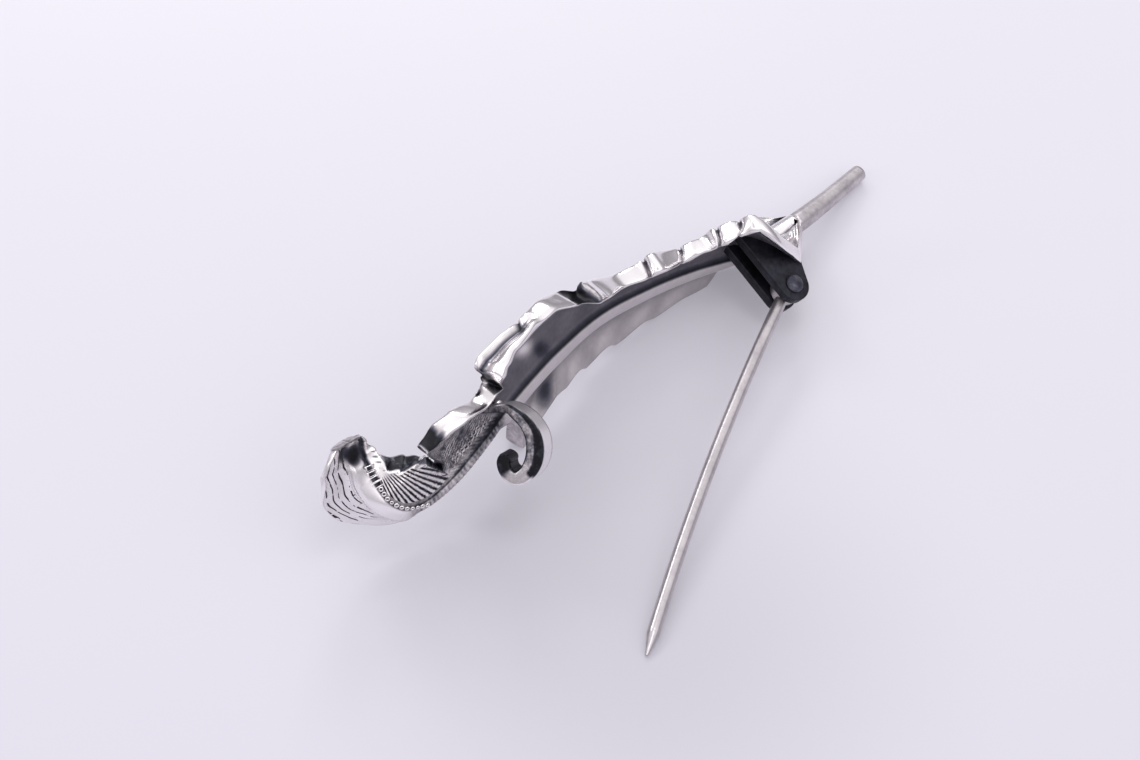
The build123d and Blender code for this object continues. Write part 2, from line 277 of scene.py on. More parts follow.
def unit(vectors):
    """The same directions with a length of one."""
    return vectors / np.linalg.norm(vectors, axis=-1, keepdims=True)


shaft_rows = [
    (x * FEATHER_LENGTH - HINGE_FROM_QUILL, y * SHAFT_SWAY, z * ARCH_RISE, roll)
    for x, y, z, roll in SHAFT_LINE
]
line_points = through_rows([row[:3] for row in shaft_rows], 60)
line_roll = np.interp(
    np.linspace(0, len(shaft_rows) - 1, len(line_points)),
    range(len(shaft_rows)),
    [row[3] for row in shaft_rows],
)
line_distance = np.concatenate([[0], np.linalg.norm(np.diff(line_points, axis=0), axis=1).cumsum()])
SHAFT_LENGTH = line_distance[-1]
line_along = unit(np.gradient(line_points, line_distance, axis=0))


def shaft_frames(station):
    """Place, along, across and front directions at stations from 0 to 1, of any array shape."""
    distance = np.clip(station, 0, 1) * SHAFT_LENGTH
    place = np.stack([np.interp(distance, line_distance, line_points[:, i]) for i in range(3)], -1)
    along = np.stack([np.interp(distance, line_distance, line_along[:, i]) for i in range(3)], -1)
    along = unit(along)
    roll = np.radians(np.interp(distance, line_distance, line_roll))[..., None]
    level = unit(np.cross([0.0, 0.0, 1.0], along))
    across = level * np.cos(roll) + np.cross(along, level) * np.sin(roll)
    return place, along, across, np.cross(along, across)


print("shaft length", round(SHAFT_LENGTH, 2), "mm")

# %% [markdown]
# Each vane is a row of barbs that leave the shaft at a slant. On the real brooch a group of
# barbs ends in a full, rounded lobe towards the tip, and the next group starts from under it,
# so the rim reads as one thick ribbon of overlapping scales with a dark crack after each lobe.
# The upper rim has a front edge and a back edge of its own, because at the curled tip it was
# filed to a slant. The reach table of a vane gives how far a barb goes out from the shaft.


# %% Reach of the barbs
def read_table(table, station, column):
    """Value of a table's column at stations, eased between its rows."""
    rows = np.array(table)
    index = np.clip(np.searchsorted(rows[:, 0], station) - 1, 0, len(rows) - 2)
    start, end = rows[index], rows[index + 1]
    share = np.clip((station - start[..., 0]) / (end[..., 0] - start[..., 0]), 0, 1)
    eased = share * share * (3 - 2 * share)
    return start[..., column] + (end[..., column] - start[..., column]) * eased


def soft_step(low, high, value):
    """Rises smoothly from 0 to 1 between two values."""
    share = np.clip((value - low) / (high - low), 0, 1)
    return share * share * (3 - 2 * share)


CLEFT_FALL = 1.4
CLEFT_RECOVERY = 1.5
SCALE_BEFORE_CRACK = 0.85
SCALE_LENGTH = 0.70
CRACK_LEAN = 0.32


def lower_reach(station):
    """Reach of the lower vane's barbs, in millimetres, with its soft clefts."""
    reach = read_table(LOWER_VANE, station, 1) * LOWER_REACH
    past = np.clip((station - 0.950) / 0.050, 0, 1)
    reach = reach * np.sqrt(1 - 0.62 * past**2)
    for foot, depth, length in LOWER_CLEFTS:
        offset = (station - foot) * SHAFT_LENGTH / length
        offset = offset / np.where(offset < 0, CLEFT_FALL, CLEFT_RECOVERY)
        reach = reach * (1 - depth * np.clip(1 - offset * offset, 0, 1) ** 2)
    return reach


def cracks(station, rise):
    """Darkness and depth of the cracks in the upper rim, and the swell of the lobe before each."""
    dark, drop, swell = 0 * station, 0 * station, 0 * station
    for foot, width, depth, back_share in UPPER_CRACKS:
        away = (station - foot) * SHAFT_LENGTH + CRACK_LEAN * rise
        through = back_share + (1 - back_share) * soft_step(-0.25, 0.15, rise)
        cut = np.exp(-((away / width) ** 2)) * through
        dark = np.maximum(dark, cut)
        drop = drop + depth * cut
        swell = swell + np.exp(-(((away + SCALE_BEFORE_CRACK) / SCALE_LENGTH) ** 2))
    return dark, drop, swell


print("longest barb", round(float(read_table(UPPER_RIM, np.linspace(0, 1, 400), 1).max()), 2), "mm")

# %% [markdown]
# A barb is placed by its station and by a share from 0 at the shaft to 1 at the rim. It goes
# out across the shaft and forward along it, and it is a little hollow. Where the upper vane is
# split near the curled tip, the shaft bends so tightly that slanted barbs would cross, so there
# they end on a straight line between the two sides of the split.

# %% Places on a vane
SPLIT_FROM, SPLIT_TO = 0.790, 0.860
SPLIT_REACHES = (1.0, 4.85)
SPLIT_EASE = 0.006


def slanted_barb(station, upper, share, reach):
    """Middle of a slanted barb, its facing, its outward direction and its root distance."""
    slope = reach / math.tan(math.radians(BARB_SLANT)) / SHAFT_LENGTH
    room = TIP_ROOM_SHARE * (1 - station) + 1e-9
    along_station = station + slope * room / (slope + room) * share
    place, _, across, front = shaft_frames(along_station)
    fold = 0 * station if upper else np.radians(read_table(LOWER_VANE, station, 2))
    fold = fold[..., None]
    outward = across if upper else -across
    facing = front * np.cos(fold) - outward * np.sin(fold)
    outward = outward * np.cos(fold) + front * np.sin(fold)
    hollow = 4 * VANE_HOLLOW * share * (1 - share) * np.minimum(1, reach / 5.6)
    middle = place + outward * (reach * share)[..., None] + facing * hollow[..., None]
    return middle, facing, outward, along_station * SHAFT_LENGTH


def vane_places(station, upper, share, reach):
    """The same for every barb, with those beside the split led to its straight rim."""
    middle, facing, outward, distance = slanted_barb(station, upper, share, reach)
    if not upper:
        return middle, facing, outward, distance
    rim_ends = [
        slanted_barb(np.full_like(station, at), True, np.ones_like(station), np.full_like(station, far))
        for at, far in zip((SPLIT_FROM, SPLIT_TO), SPLIT_REACHES)
    ]
    passed = np.clip((station - SPLIT_FROM) / (SPLIT_TO - SPLIT_FROM), 0, 1)[..., None]
    end, end_facing, end_outward = [
        before * (1 - passed) + after * passed for before, after in zip(rim_ends[0][:3], rim_ends[1][:3])
    ]
    root, _, _, front = shaft_frames(station)
    part = np.asarray(share)[..., None]
    window = soft_step(SPLIT_FROM, SPLIT_FROM + SPLIT_EASE, station)
    window = (window * soft_step(SPLIT_TO, SPLIT_TO - SPLIT_EASE, station))[..., None]
    straight_facing = unit(front * (1 - part) + end_facing * part)
    sag = 1.6 * VANE_HOLLOW * part * (1 - part)
    straight = root + (end - root) * part + straight_facing * sag
    middle = middle + (straight - middle) * window
    facing = unit(facing + (straight_facing - facing) * window)
    outward = unit(outward + (unit(end_outward) - outward) * window)
    return middle, facing, outward, distance


split_ends = [round(at * SHAFT_LENGTH, 1) for at in (SPLIT_FROM, SPLIT_TO)]
print("the split runs between", split_ends, "mm along the shaft")

# %% [markdown]
# The relief is worked out from two lengths on the surface: how far along the shaft a point
# lies, and how far out from it. A groove is a narrow valley of a saw-like phase. Each point
# also keeps its patina as three numbers for the materials: how much black oxide is left there,
# which in a few places also carries painted shade and painted highlight, how gritty its edge is,
# and how satin the surface is.


# %% Valleys, noise and the patina of a surface
def valley(phase, width):
    """1 at the bottom of a groove at each whole phase, 0 beyond its width."""
    offset = np.abs(phase - np.round(phase)) / width
    return np.clip(1 - offset, 0, 1) ** 0.8


def wander(first, second, seed):
    """Smooth unevenness between -1 and 1 over two coordinates in millimetres."""
    turns = np.random.default_rng(seed).uniform(0.6, 1.7, (5, 2))
    starts = np.random.default_rng(seed + 1).uniform(0, 2 * math.pi, 5)
    total = 0
    for (along, out), start in zip(turns, starts):
        total = total + np.sin(along * first + out * second + start)
    return total / 3.2


def patina(oxide, grit, satin):
    """The three numbers of the patina side by side, each from 0 to 1."""
    parts = np.broadcast_arrays(oxide, grit, satin)
    return np.clip(np.stack(parts, -1), 0, 1)


def near(value, middle, width):
    """1 at a middle value, falling away over a width."""
    return np.exp(-(((value - middle) / width) ** 2))


BARB_PITCH = 0.52
BARB_DEPTH = 0.15
COMB_PITCH = 0.37
BACK_CARVING_FROM = 0.700
FAN_FROM = 0.790
BAND_FROM = 0.865
print("pitches in mm: barbs", BARB_PITCH, "comb", COMB_PITCH)

# %% [markdown]
# The body of the feather is a skin over closed rings of points, one ring for each line of a
# barb pair. Going round a ring: the lower vane's front from rim to shaft, the front of the
# shaft, the upper vane's front out to its rim, round the rim's thick edge, back along the
# upper vane's back, the back of the shaft, the lower vane's back, and round the lower rim.
# The rings lie closer together at the tip, where the engraving is finest. Each point carries
# its patina, and on the back of the tip two more fields of three numbers. Its lie is where it
# is: distance along the shaft, distance out from it, and the phase of the fan's grooves. Its
# zones say which marks were cut there: long lines, fan or hatching.

# %% Columns across a vane and stations along the shaft
VANE_COLUMNS = 23
EDGE_COLUMNS = 13
SHAFT_COLUMNS = 9
ROOT_TO_MIDDLE = 370
MIDDLE_TO_TIP = 270
MIDDLE_STATION = 0.75
TIP_STATION = 0.994
vane_share = np.linspace(0, 1, VANE_COLUMNS) ** 0.92
edge_turn = np.linspace(math.pi / 2, -math.pi / 2, EDGE_COLUMNS + 2)[1:-1]
shaft_turn = np.linspace(-1, 1, SHAFT_COLUMNS)
stations = np.concatenate(
    [
        np.linspace(FIRST_BARB, MIDDLE_STATION, ROOT_TO_MIDDLE, endpoint=False),
        np.linspace(MIDDLE_STATION, TIP_STATION, MIDDLE_TO_TIP),
    ]
)
LEAF_FROM, LEAF_TO = 0.690, 0.769
RIDGES_FROM, RIDGES_TO = 0.548, 0.640


def upper_side_reach(station, front):
    """Reach and half wall of the upper vane at its front or back edge."""
    dark, drop, _ = cracks(station, 1 if front else -1)
    reach = read_table(UPPER_RIM, station, 1 if front else 2) - drop
    thin = 1 - 0.88 * soft_step(0.945, 0.995, station)
    half_wall = RIM_FRONT * thin if front else read_table(UPPER_RIM, station, 3)
    return reach, half_wall * (1 - 0.25 * dark)


def lower_side_reach(station):
    """Reach and half wall of the lower vane at its rim."""
    thin = 1 - 0.70 * soft_step(0.80, 0.93, station)
    return lower_reach(station), RIM_WALL / 2 * 0.9 * thin


print("rings:", len(stations), "closest", round(float(np.diff(stations).min() * SHAFT_LENGTH), 3), "mm")


# %% Relief and patina on the faces of the vanes
def carved_front(station, upper, share, out, distance):
    """Height and patina of a vane's front, whose fine barbs were cast and blackened."""
    uneven = 0.22 * wander(distance, out, 3 if upper else 7)
    barb = station * SHAFT_LENGTH / BARB_PITCH
    amount = soft_step(0.02, 0.12, share) * soft_step(1.0, 0.86, share)
    cut = valley(barb + uneven, 0.42) * amount
    fine = valley(2 * barb + uneven, 0.5) * amount * 0.3
    oxide = np.clip(0.15 + 0.9 * cut + 0.3 * fine, 0, 1) * soft_step(1.0, 0.9, share)
    oxide = oxide * (0.25 + 0.75 * soft_step(0.17, 0.23, station))
    return -BARB_DEPTH * (cut + fine), patina(oxide, 0.4, 0.15)


def fan_back(station, share, out, distance):
    """Height and patina of the fan of grooves inside the curled tip."""
    wide_foot = 0.35 * soft_step(0.900, 0.925, station)
    foot = soft_step(1.10 + wide_foot, 0.80 + wide_foot, out) * soft_step(0.835, 0.865, station)
    pits = soft_step(0.35, 0.8, wander(distance * 9.0, out * 8.0, 17)) * soft_step(0.45, 0.8, share)
    height = -BARB_DEPTH * (0.35 * pits + 0.5 * foot)
    return height, patina(0.8 * foot + 0.45 * pits + 0.06, 0.35, 0.20)


def hatched_back(share, out, distance):
    """Height and patina of the dark strip under the last lobe, whose hatching is in the material."""
    blotch = 0.5 + 0.125 * wander(distance, out, 19)
    teeth = valley(distance / COMB_PITCH, 0.4) * soft_step(0.45, 0.15, share)
    height = -BARB_DEPTH * (0.4 * blotch + 0.7 * teeth)
    oxide = 0.34 + 0.14 * blotch + 0.2 * teeth - 0.30 * soft_step(0.3, 0.0, share)
    return height, patina(oxide + 0.15 * wander(distance * 3, out * 3, 25), 0.55, 0.3)


def lower_back(station, share, out, distance):
    """Height and patina of the lower vane's back: smooth, dull along the arch and bright at the tip."""
    dull_oxide = 0.50 - 0.16 * soft_step(0.15, 0.75, share) + 0.02 * wander(distance, out, 21)
    dull = patina(dull_oxide, 0.05, 0.34)
    blob = near(station, 0.541, 0.010) * near(out, 3.7, 0.9)
    dark_patch = near(station, 0.80, 0.030) * soft_step(0.9, 0.2, share)
    bright = patina(0.05 + 0.04 * wander(distance * 2, out * 2, 27), 0.25, 0.16)
    bright = bright + patina(0.8 * dark_patch, 0, 0)
    shift = soft_step(0.76, 0.83, station)[..., None]
    return 0 * out, dull * (1 - shift) + bright * shift + patina(0.55 * blob, 0, 0)


def upper_back(station, share, out, distance):
    """Height and patina of the upper vane's back: plain with a painted highlight and a painted shadow
    beside it, then the dark strip, then the fan.
    """
    # A pale spot here is a painted highlight, and the darker patch beside it is a painted shadow.
    painted_highlight_spot = near(station, 0.596, 0.014) * near(out, 3.5, 1.1)
    painted_shadow_spot = near(station, 0.584, 0.013) * near(out, 2.0, 0.95)
    plain_oxide = 0.64 + 0.02 * wander(distance, out, 21) + 0.30 * painted_shadow_spot - 0.62 * painted_highlight_spot
    plain = patina(plain_oxide, 0.05, 0.34)
    strip_height, strip = hatched_back(share, out, distance)
    fan_height, fan = fan_back(station, share, out, distance)
    into_fan = soft_step(FAN_FROM - 0.012, FAN_FROM + 0.012, station)
    carved = soft_step(BACK_CARVING_FROM - 0.01, BACK_CARVING_FROM + 0.012, station)
    height = carved * (strip_height * (1 - into_fan) + fan_height * into_fan)
    tip = strip * (1 - into_fan[..., None]) + fan * into_fan[..., None]
    return height, np.clip(plain * (1 - carved[..., None]) + tip * carved[..., None], 0, 1)


# %% Grooves of the fan
# The bench place that the grooves spread from, the two bench directions that their angle is
# measured between, and the angle from one groove to the next in degrees
FAN_FOCUS = (37.9, -4.0, 5.7)
FAN_RIGHT = (-0.69, 0.48, -0.54)
FAN_DOWN = (0.42, -0.34, -0.84)
FAN_PITCH = 5.2


def fan_rays(points):
    """Phase of the fan's grooves by the angle about their focus, and the distance from it in mm."""
    away = points - np.array(FAN_FOCUS)
    angle = np.degrees(np.arctan2(away @ np.array(FAN_RIGHT), away @ np.array(FAN_DOWN)))
    return angle / FAN_PITCH, np.linalg.norm(away, axis=-1)


print("angle between the fan's grooves:", FAN_PITCH, "degrees")


# %% Faces of the vanes and the edge of the lower rim
def vane_face(upper, front):
    """Points, patina, lie and zones on one face of a vane, from the shaft to the rim."""
    station, across = np.meshgrid(stations, vane_share, indexing="ij")
    reach, half_rim = upper_side_reach(station, front) if upper else lower_side_reach(station)
    shoulder = SHAFT_WIDTH / 2 * (1 + (TIP_SHAFT_SHARE - 1) * station)
    foot = np.minimum(LARGEST_FOOT_SHARE, (shoulder + SHAFT_GROOVE) / reach)
    share = foot + (1 - foot) * across
    middle, facing, _, distance = vane_places(station, upper, share, reach)
    half_wall = VANE_WALL / 2 + (half_rim - VANE_WALL / 2) * soft_step(0.52, 0.95, across)
    from_root = np.linalg.norm(middle - shaft_frames(station)[0], axis=-1)
    out = np.where(station > SPLIT_FROM - 0.01, from_root, share * reach)
    if front:
        height, paint = carved_front(station, upper, across, out, distance)
    else:
        height, paint = (upper_back if upper else lower_back)(station, across, out, distance)
    side = 1 if front else -1
    points = middle + facing * (side * (half_wall + height))[..., None]
    polished = soft_step(0.90, 0.96, across) * (1.0 if upper else soft_step(0.74, 0.80, station))
    in_split = soft_step(LEAF_TO - 0.005, LEAF_TO - 0.002, station)
    in_split = in_split * soft_step(SPLIT_TO + 0.004, SPLIT_TO - 0.004, station)
    polished = (polished * (1 - in_split * upper))[..., None]
    paint = paint * (1 - polished) + patina(0.04, 0.1, 0.05) * polished
    lined = 0 * out if (upper or front) else soft_step(0.855, 0.885, station)
    fanned = hatched = phase = 0 * out
    if upper and not front:
        phase, from_focus = fan_rays(points)
        fanned = soft_step(FAN_FROM, FAN_FROM + 0.015, station) * soft_step(0.965, 0.945, station)
        fanned = fanned * soft_step(1.4, 2.4, from_focus) * soft_step(0.55, 0.80, out)
        fanned = fanned * (1 - polished[..., 0])
        hatched = soft_step(0.690, 0.705, station) * soft_step(FAN_FROM, FAN_FROM - 0.015, station)
    return points, paint, np.stack([distance, out, phase], -1), np.stack([lined, fanned, hatched], -1)


def lower_edge():
    """Points, patina, lie and zones round the edge of the lower vane's rim."""
    station, turn = np.meshgrid(stations, edge_turn, indexing="ij")
    reach, half_rim = lower_side_reach(station)
    middle, facing, outward, distance = vane_places(station, False, np.ones_like(station), reach)
    height = np.sign(np.sin(turn)) * np.abs(np.sin(turn)) ** 0.75 * half_rim
    bulge = 0.12 * np.cos(turn) ** 0.7 + 0.03 * wander(distance * 1.3, turn * 1.5, 41)
    points = middle + facing * height[..., None] + outward * bulge[..., None]
    tip = soft_step(0.74, 0.80, station)
    oxide = 0.36 * (1 - tip) + 0.05 * tip
    paint = patina(oxide + 0.08 * wander(distance * 2, turn, 43), 0.25, 0.2)
    return points, paint, 0 * points, 0 * points


# %% [markdown]
# The thick ribbon along the upper rim was burnished, so it is bright, with black only where the
# burnisher did not reach. From the quill on it has a full lobe at the base, a dark gap, a double
# lobe with a groove along it, a thin neck with a small hook, a leaf whose point is dark, and the
# rough edge of the fan. Each feature is an amount from 0 to 1 over the ribbon's points. The
# shape and the patina are then worked out from those same amounts, so they always agree.

# %% The ribbon of the upper rim
BASE_LOBE_AT = 0.175
GAP_AT = 0.483
GAP_HALF_WIDTH = 0.0135
LOBE_END_AT = 0.647
NECK_AT = 0.667
LEAF_BELLY_AT = 0.716
print("ribbon stations: gap", GAP_AT, "end of the double lobe", LOBE_END_AT, "neck", NECK_AT)


def ribbon_features(station, turn):
    """Amount of each feature of the ribbon at its points, by name."""
    ridges = soft_step(RIDGES_FROM, RIDGES_FROM + 0.02, station)
    ridges = ridges * soft_step(RIDGES_TO + 0.004, RIDGES_TO, station)
    crumpled = soft_step(0.645, 0.652, station) * soft_step(0.664, 0.655, station)
    leaf = soft_step(LEAF_FROM, LEAF_FROM + 0.01, station)
    return {
        "leaf": leaf * soft_step(LEAF_TO, LEAF_TO - 0.01, station),
        "neck": near(station, NECK_AT, 0.020),
        "fan": soft_step(LEAF_TO - 0.004, LEAF_TO - 0.001, station),
        "ridges": ridges,
        "groove": near(turn, -0.04 + 1.5 * (station - 0.60), 0.34) * ridges,
        "hook": near(station, NECK_AT, 0.0045) * near(turn, 1.0, 0.45),
        "crumpled": crumpled + near(station, 0.466, 0.004),
        "gap": np.exp(-(((station - GAP_AT) / GAP_HALF_WIDTH) ** 4)),
    }


def ribbon_bulge(station, turn, distance, swell, has):
    """How far the ribbon stands out from the line of the rim, in millimetres."""
    roundness = 0.28 + 0.30 * swell + 0.30 * near(station, BASE_LOBE_AT, 0.022)
    roundness = roundness * (1 - 0.65 * has["neck"]) * (1 - 0.45 * has["fan"])
    belly = 0.22 * has["leaf"] * near(station, LEAF_BELLY_AT, 0.020)
    belly = belly + 0.08 * has["ridges"] - 0.50 * has["gap"]
    crumple = 0.10 * has["crumpled"] * wander(distance * 7.0, turn * 3.0, 45)
    ripple = 0.05 * has["fan"] * wander(distance * 6.0, turn * 2.0, 47)
    bulge = roundness * np.cos(turn) ** 0.6 + belly * np.cos(turn)
    return bulge - 0.48 * has["groove"] - 0.45 * has["hook"] + crumple + ripple


def ribbon_patina(station, turn, rise, distance, dark, has):
    """Patina of the ribbon: bright, and black in its cracks, at the leaf's point and in the split, with a
    painted highlight left on the leaf's belly.
    """
    streaks = 0.10 * wander(distance * 2.0, turn * 9.0, 49)
    point_dark = soft_step(0.714, 0.740, station + 0.003 * rise + 0.05 * streaks) * has["leaf"]
    under_lobe = near(station, LOBE_END_AT, 0.006) * near(turn, 0.0, 0.4)
    blotches = soft_step(0.0, 0.5, wander(distance * 7.0, turn * 3.0, 45))
    oxide = 0.03 + 0.95 * dark**1.5 + 0.85 * has["groove"] ** 3 + has["gap"] + 0.95 * under_lobe
    oxide = oxide + 0.95 * has["hook"] + 0.97 * point_dark + 0.55 * has["crumpled"] * blotches
    border = soft_step(0.72, 0.90, np.abs(rise))
    fan_edge = has["fan"] * soft_step(0.945, 0.925, station)
    tongue = soft_step(LEAF_TO - 0.003, LEAF_TO, station)
    tongue = tongue * soft_step(SPLIT_TO + 0.014, SPLIT_TO + 0.004, station)
    speckle = fan_edge * (0.93 - 0.85 * border)
    oxide = oxide * (1 - fan_edge) + speckle * (1 - tongue) + 0.86 * tongue
    # The neck and the leaf are dimmed a little, all but the leaf's belly, which keeps a brighter painted
    # highlight.
    dimmed_around_painted_highlight = has["leaf"] * (1 - near(station, 0.711, 0.013))
    oxide = oxide + 0.14 * (has["neck"] + dimmed_around_painted_highlight)
    grit = 0.06 + 0.6 * fan_edge * (1 - tongue) * (1 - border) + 0.3 * has["crumpled"]
    return patina(oxide, grit, 0.04 + 0.10 * has["neck"] + 0.06 * has["leaf"])


def upper_edge():
    """Points, patina, lie and zones over the ribbon of the upper rim, from front to back edge."""
    station, turn = np.meshgrid(stations, edge_turn, indexing="ij")
    rise = np.sign(np.sin(turn)) * np.abs(np.sin(turn)) ** 0.75
    front_wall = upper_side_reach(station, True)[1]
    back_wall = upper_side_reach(station, False)[1]
    dark, drop, swell = cracks(station, rise)
    front_line = read_table(UPPER_RIM, station, 1)
    back_line = read_table(UPPER_RIM, station, 2)
    reach = back_line + (front_line - back_line) * (1 + rise) / 2 - drop
    middle, facing, outward, distance = vane_places(station, True, np.ones_like(station), reach)
    height = np.where(rise > 0, rise * front_wall, rise * back_wall)
    has = ribbon_features(station, turn)
    bulge = ribbon_bulge(station, turn, distance, swell, has)
    points = middle + facing * height[..., None] + outward * bulge[..., None]
    return points, ribbon_patina(station, turn, rise, distance, dark, has), 0 * points, 0 * points


# %% Faces of the shaft and the whole rings
def shaft_face(front):
    """Points, patina, lie and zones over the front or the back of the shaft."""
    station, turn = np.meshgrid(stations, shaft_turn, indexing="ij")
    place, _, across, facing = shaft_frames(station)
    narrowing = 1 + (TIP_SHAFT_SHARE - 1) * station
    aside = SHAFT_WIDTH / 2 * narrowing * SHOULDER_SHARE * 1.06
    distance = station * SHAFT_LENGTH
    side = 1 if front else -1
    if front:
        crest = SHAFT_HEIGHT / 2 * narrowing * (1 - 0.55 * soft_step(0.945, 1.0, station))
        rise = crest * np.sqrt(np.clip(1 - 0.52 * np.abs(turn) ** 2.2, 0, 1))
        paint = patina(0.75 * soft_step(0.86, 1.0, np.abs(turn)), 0.2, 0.15)
    else:
        comb = soft_step(0.695, 0.715, station) * soft_step(BAND_FROM + 0.01, BAND_FROM - 0.01, station)
        band = soft_step(BAND_FROM - 0.01, BAND_FROM + 0.02, station)
        plain = (1 - comb) * (1 - band)
        crest = SHAFT_HEIGHT / 2 * narrowing * (BACK_SHAFT_SHARE + 0.12 * plain) * (1 - 0.26 * comb)
        aside = aside * (1 + 0.16 * plain) * (1 - 0.30 * comb)
        flatness = 0.52 - 0.40 * band * (turn < 0) - 0.18 * band * (turn > 0)
        teeth = valley(distance / COMB_PITCH + 0.12 * wander(distance, turn, 51), 0.40) * comb
        rise = crest * np.sqrt(np.clip(1 - flatness * np.abs(turn) ** 2.2, 0, 1)) - 0.035 * teeth
        seam = soft_step(0.80, 1.0, turn) + soft_step(-0.80, -1.0, turn) * (1 - band)
        toothed = 0.40 + 0.38 * teeth * (0.6 + 0.4 * wander(distance * 2, turn, 53))
        oxide = 0.26 * plain + 0.78 * seam + comb * toothed
        paint = patina(oxide, 0.05 + 0.3 * comb, 0.32 - 0.22 * band)
    points = place + across * (turn * aside)[..., None] + facing * (side * rise)[..., None]
    return points, paint, 0 * points, 0 * points


faces = [
    [part[:, ::-1] for part in vane_face(False, True)],
    shaft_face(True),
    vane_face(True, True),
    upper_edge(),
    [part[:, ::-1] for part in vane_face(True, False)],
    [part[:, ::-1] for part in shaft_face(False)],
    vane_face(False, False),
    [part[:, ::-1] for part in lower_edge()],
]
vane_rings, vane_paint, vane_lie, vane_zones = [
    np.concatenate([face[i] for face in faces], axis=1) for i in range(4)
]
RING_POINTS = vane_rings.shape[1]
print("points in a ring:", RING_POINTS)

# %% [markdown]
# The curled end has small hollows that kept their black, between bright lobes. Each is pressed
# in with a soft round dent: a place on the back, a radius, a depth and the oxide left in it.

# %% Dents in the back of the tip
for station, across_shaft, radius, depth, oxide in DENTS:
    place, _, across, front = shaft_frames(np.array(station))
    centre = place + across * across_shaft - front * 0.5
    away = np.linalg.norm(vane_rings - centre, axis=-1) / radius
    press = np.exp(-(away**4))
    vane_rings = vane_rings + (front * depth) * press[..., None]
    vane_paint[..., 0] = np.maximum(vane_paint[..., 0], oxide * np.exp(-((away * 1.02) ** 6)))
    print("dent of", radius, "mm touches", int((press > 0.5).sum()), "points")

# %% [markdown]
# The bare quill is round. Its rings have as many points as those of the vanes, placed so that
# each lies beside its partner, and the skin joins the last round ring straight to the first ring
# of the vanes. The tip's end is closed by a low dome and the quill's end by a flat cap.

# %% Quill rings, tip dome and the joined skin
QUILL_RINGS = 46
DOME_RINGS = 6
DOME_HEIGHT = 0.16


def quill_ring(station, pattern):
    """Round ring whose points lie in the directions of those of the first vane ring."""
    place, _, across, front = shaft_frames(np.array(station))
    radius = QUILL_END_RADIUS + (QUILL_RADIUS - QUILL_END_RADIUS) * station / FIRST_BARB
    return place + radius * (across * np.sin(pattern)[:, None] + front * np.cos(pattern)[:, None])


ring_index = np.arange(RING_POINTS)
pattern = 2 * math.pi * (ring_index - VANE_COLUMNS - (SHAFT_COLUMNS - 1) / 2) / RING_POINTS
quill_rings = [quill_ring(FIRST_BARB * i / QUILL_RINGS, pattern) for i in range(QUILL_RINGS)]
last_ring = vane_rings[-1]
end_along = shaft_frames(np.array(TIP_STATION))[1]
opposite = np.roll(last_ring[::-1], 2 * VANE_COLUMNS + SHAFT_COLUMNS, axis=0)
middle_line = (last_ring + opposite) / 2
dome_rings = []
for i in range(1, DOME_RINGS + 1):
    quarter_turn = math.pi / 2 * i / DOME_RINGS
    inward = 1 - math.cos(quarter_turn) * 0.98 - 0.02 * (i == DOME_RINGS)
    ring = last_ring + (middle_line - last_ring) * min(0.98, inward)
    dome_rings.append(ring + end_along * DOME_HEIGHT * math.sin(quarter_turn))
rings = np.concatenate([np.array(quill_rings), vane_rings, np.array(dome_rings)])
quill_paint = np.tile(patina(0.34, 0.15, 0.2), (QUILL_RINGS, RING_POINTS, 1))
dome_paint = np.tile(patina(0.42, 0.3, 0.12), (DOME_RINGS, RING_POINTS, 1))
paint = np.concatenate([quill_paint, vane_paint, dome_paint])
lie, zones = np.zeros_like(rings), np.zeros_like(rings)
lie[QUILL_RINGS : QUILL_RINGS + len(stations)] = vane_lie
zones[QUILL_RINGS : QUILL_RINGS + len(stations)] = vane_zones
print("rings in all:", len(rings))


# %% Mesh of a piece from its rings
TABLE_CLEARANCE = 0.00001


def skin_mesh(name, rings, fields, material):
    """Closed mesh over rings of points, with the fields of three numbers kept as attributes."""
    count, width = rings.shape[:2]
    index = np.arange(count * width).reshape(count, width)
    after = np.roll(index, -1, axis=1)
    quads = np.stack([index[:-1], after[:-1], after[1:], index[1:]], -1).reshape(-1, 4)
    points = np.concatenate([rings.reshape(-1, 3), [rings[0].mean(axis=0), rings[-1].mean(axis=0)]])
    places = on_table(points)
    places[:, 2] = np.maximum(places[:, 2], TABLE_CLEARANCE)
    faces = quads.tolist()
    first, last = count * width, count * width + 1
    for i in range(width):
        j = (i + 1) % width
        faces.append([int(index[0, j]), int(index[0, i]), first])
        faces.append([int(index[-1, i]), int(index[-1, j]), last])
    mesh = bpy.data.meshes.new(name)
    mesh.from_pydata(places.tolist(), [], faces)
    for label, field in fields.items():
        values = np.concatenate([field.reshape(-1, 3), [field[0].mean(axis=0), field[-1].mean(axis=0)]])
        kept = mesh.attributes.new(label, "FLOAT_VECTOR", "POINT")
        kept.data.foreach_set("vector", values.astype(np.float32).ravel())
    mesh.validate()
    turn_outwards(mesh)
    mesh.shade_smooth()
    piece = bpy.data.objects.new(name, mesh)
    bpy.context.scene.collection.objects.link(piece)
    mesh.materials.append(material)
    return piece


def turn_outwards(mesh):
    """Points every face of a closed mesh outwards."""
    shape = bmesh.new()
    shape.from_mesh(mesh)
    bmesh.ops.recalc_face_normals(shape, faces=shape.faces)
    if shape.calc_volume(signed=True) < 0:
        bmesh.ops.reverse_faces(shape, faces=shape.faces)
    shape.to_mesh(mesh)
    shape.free()
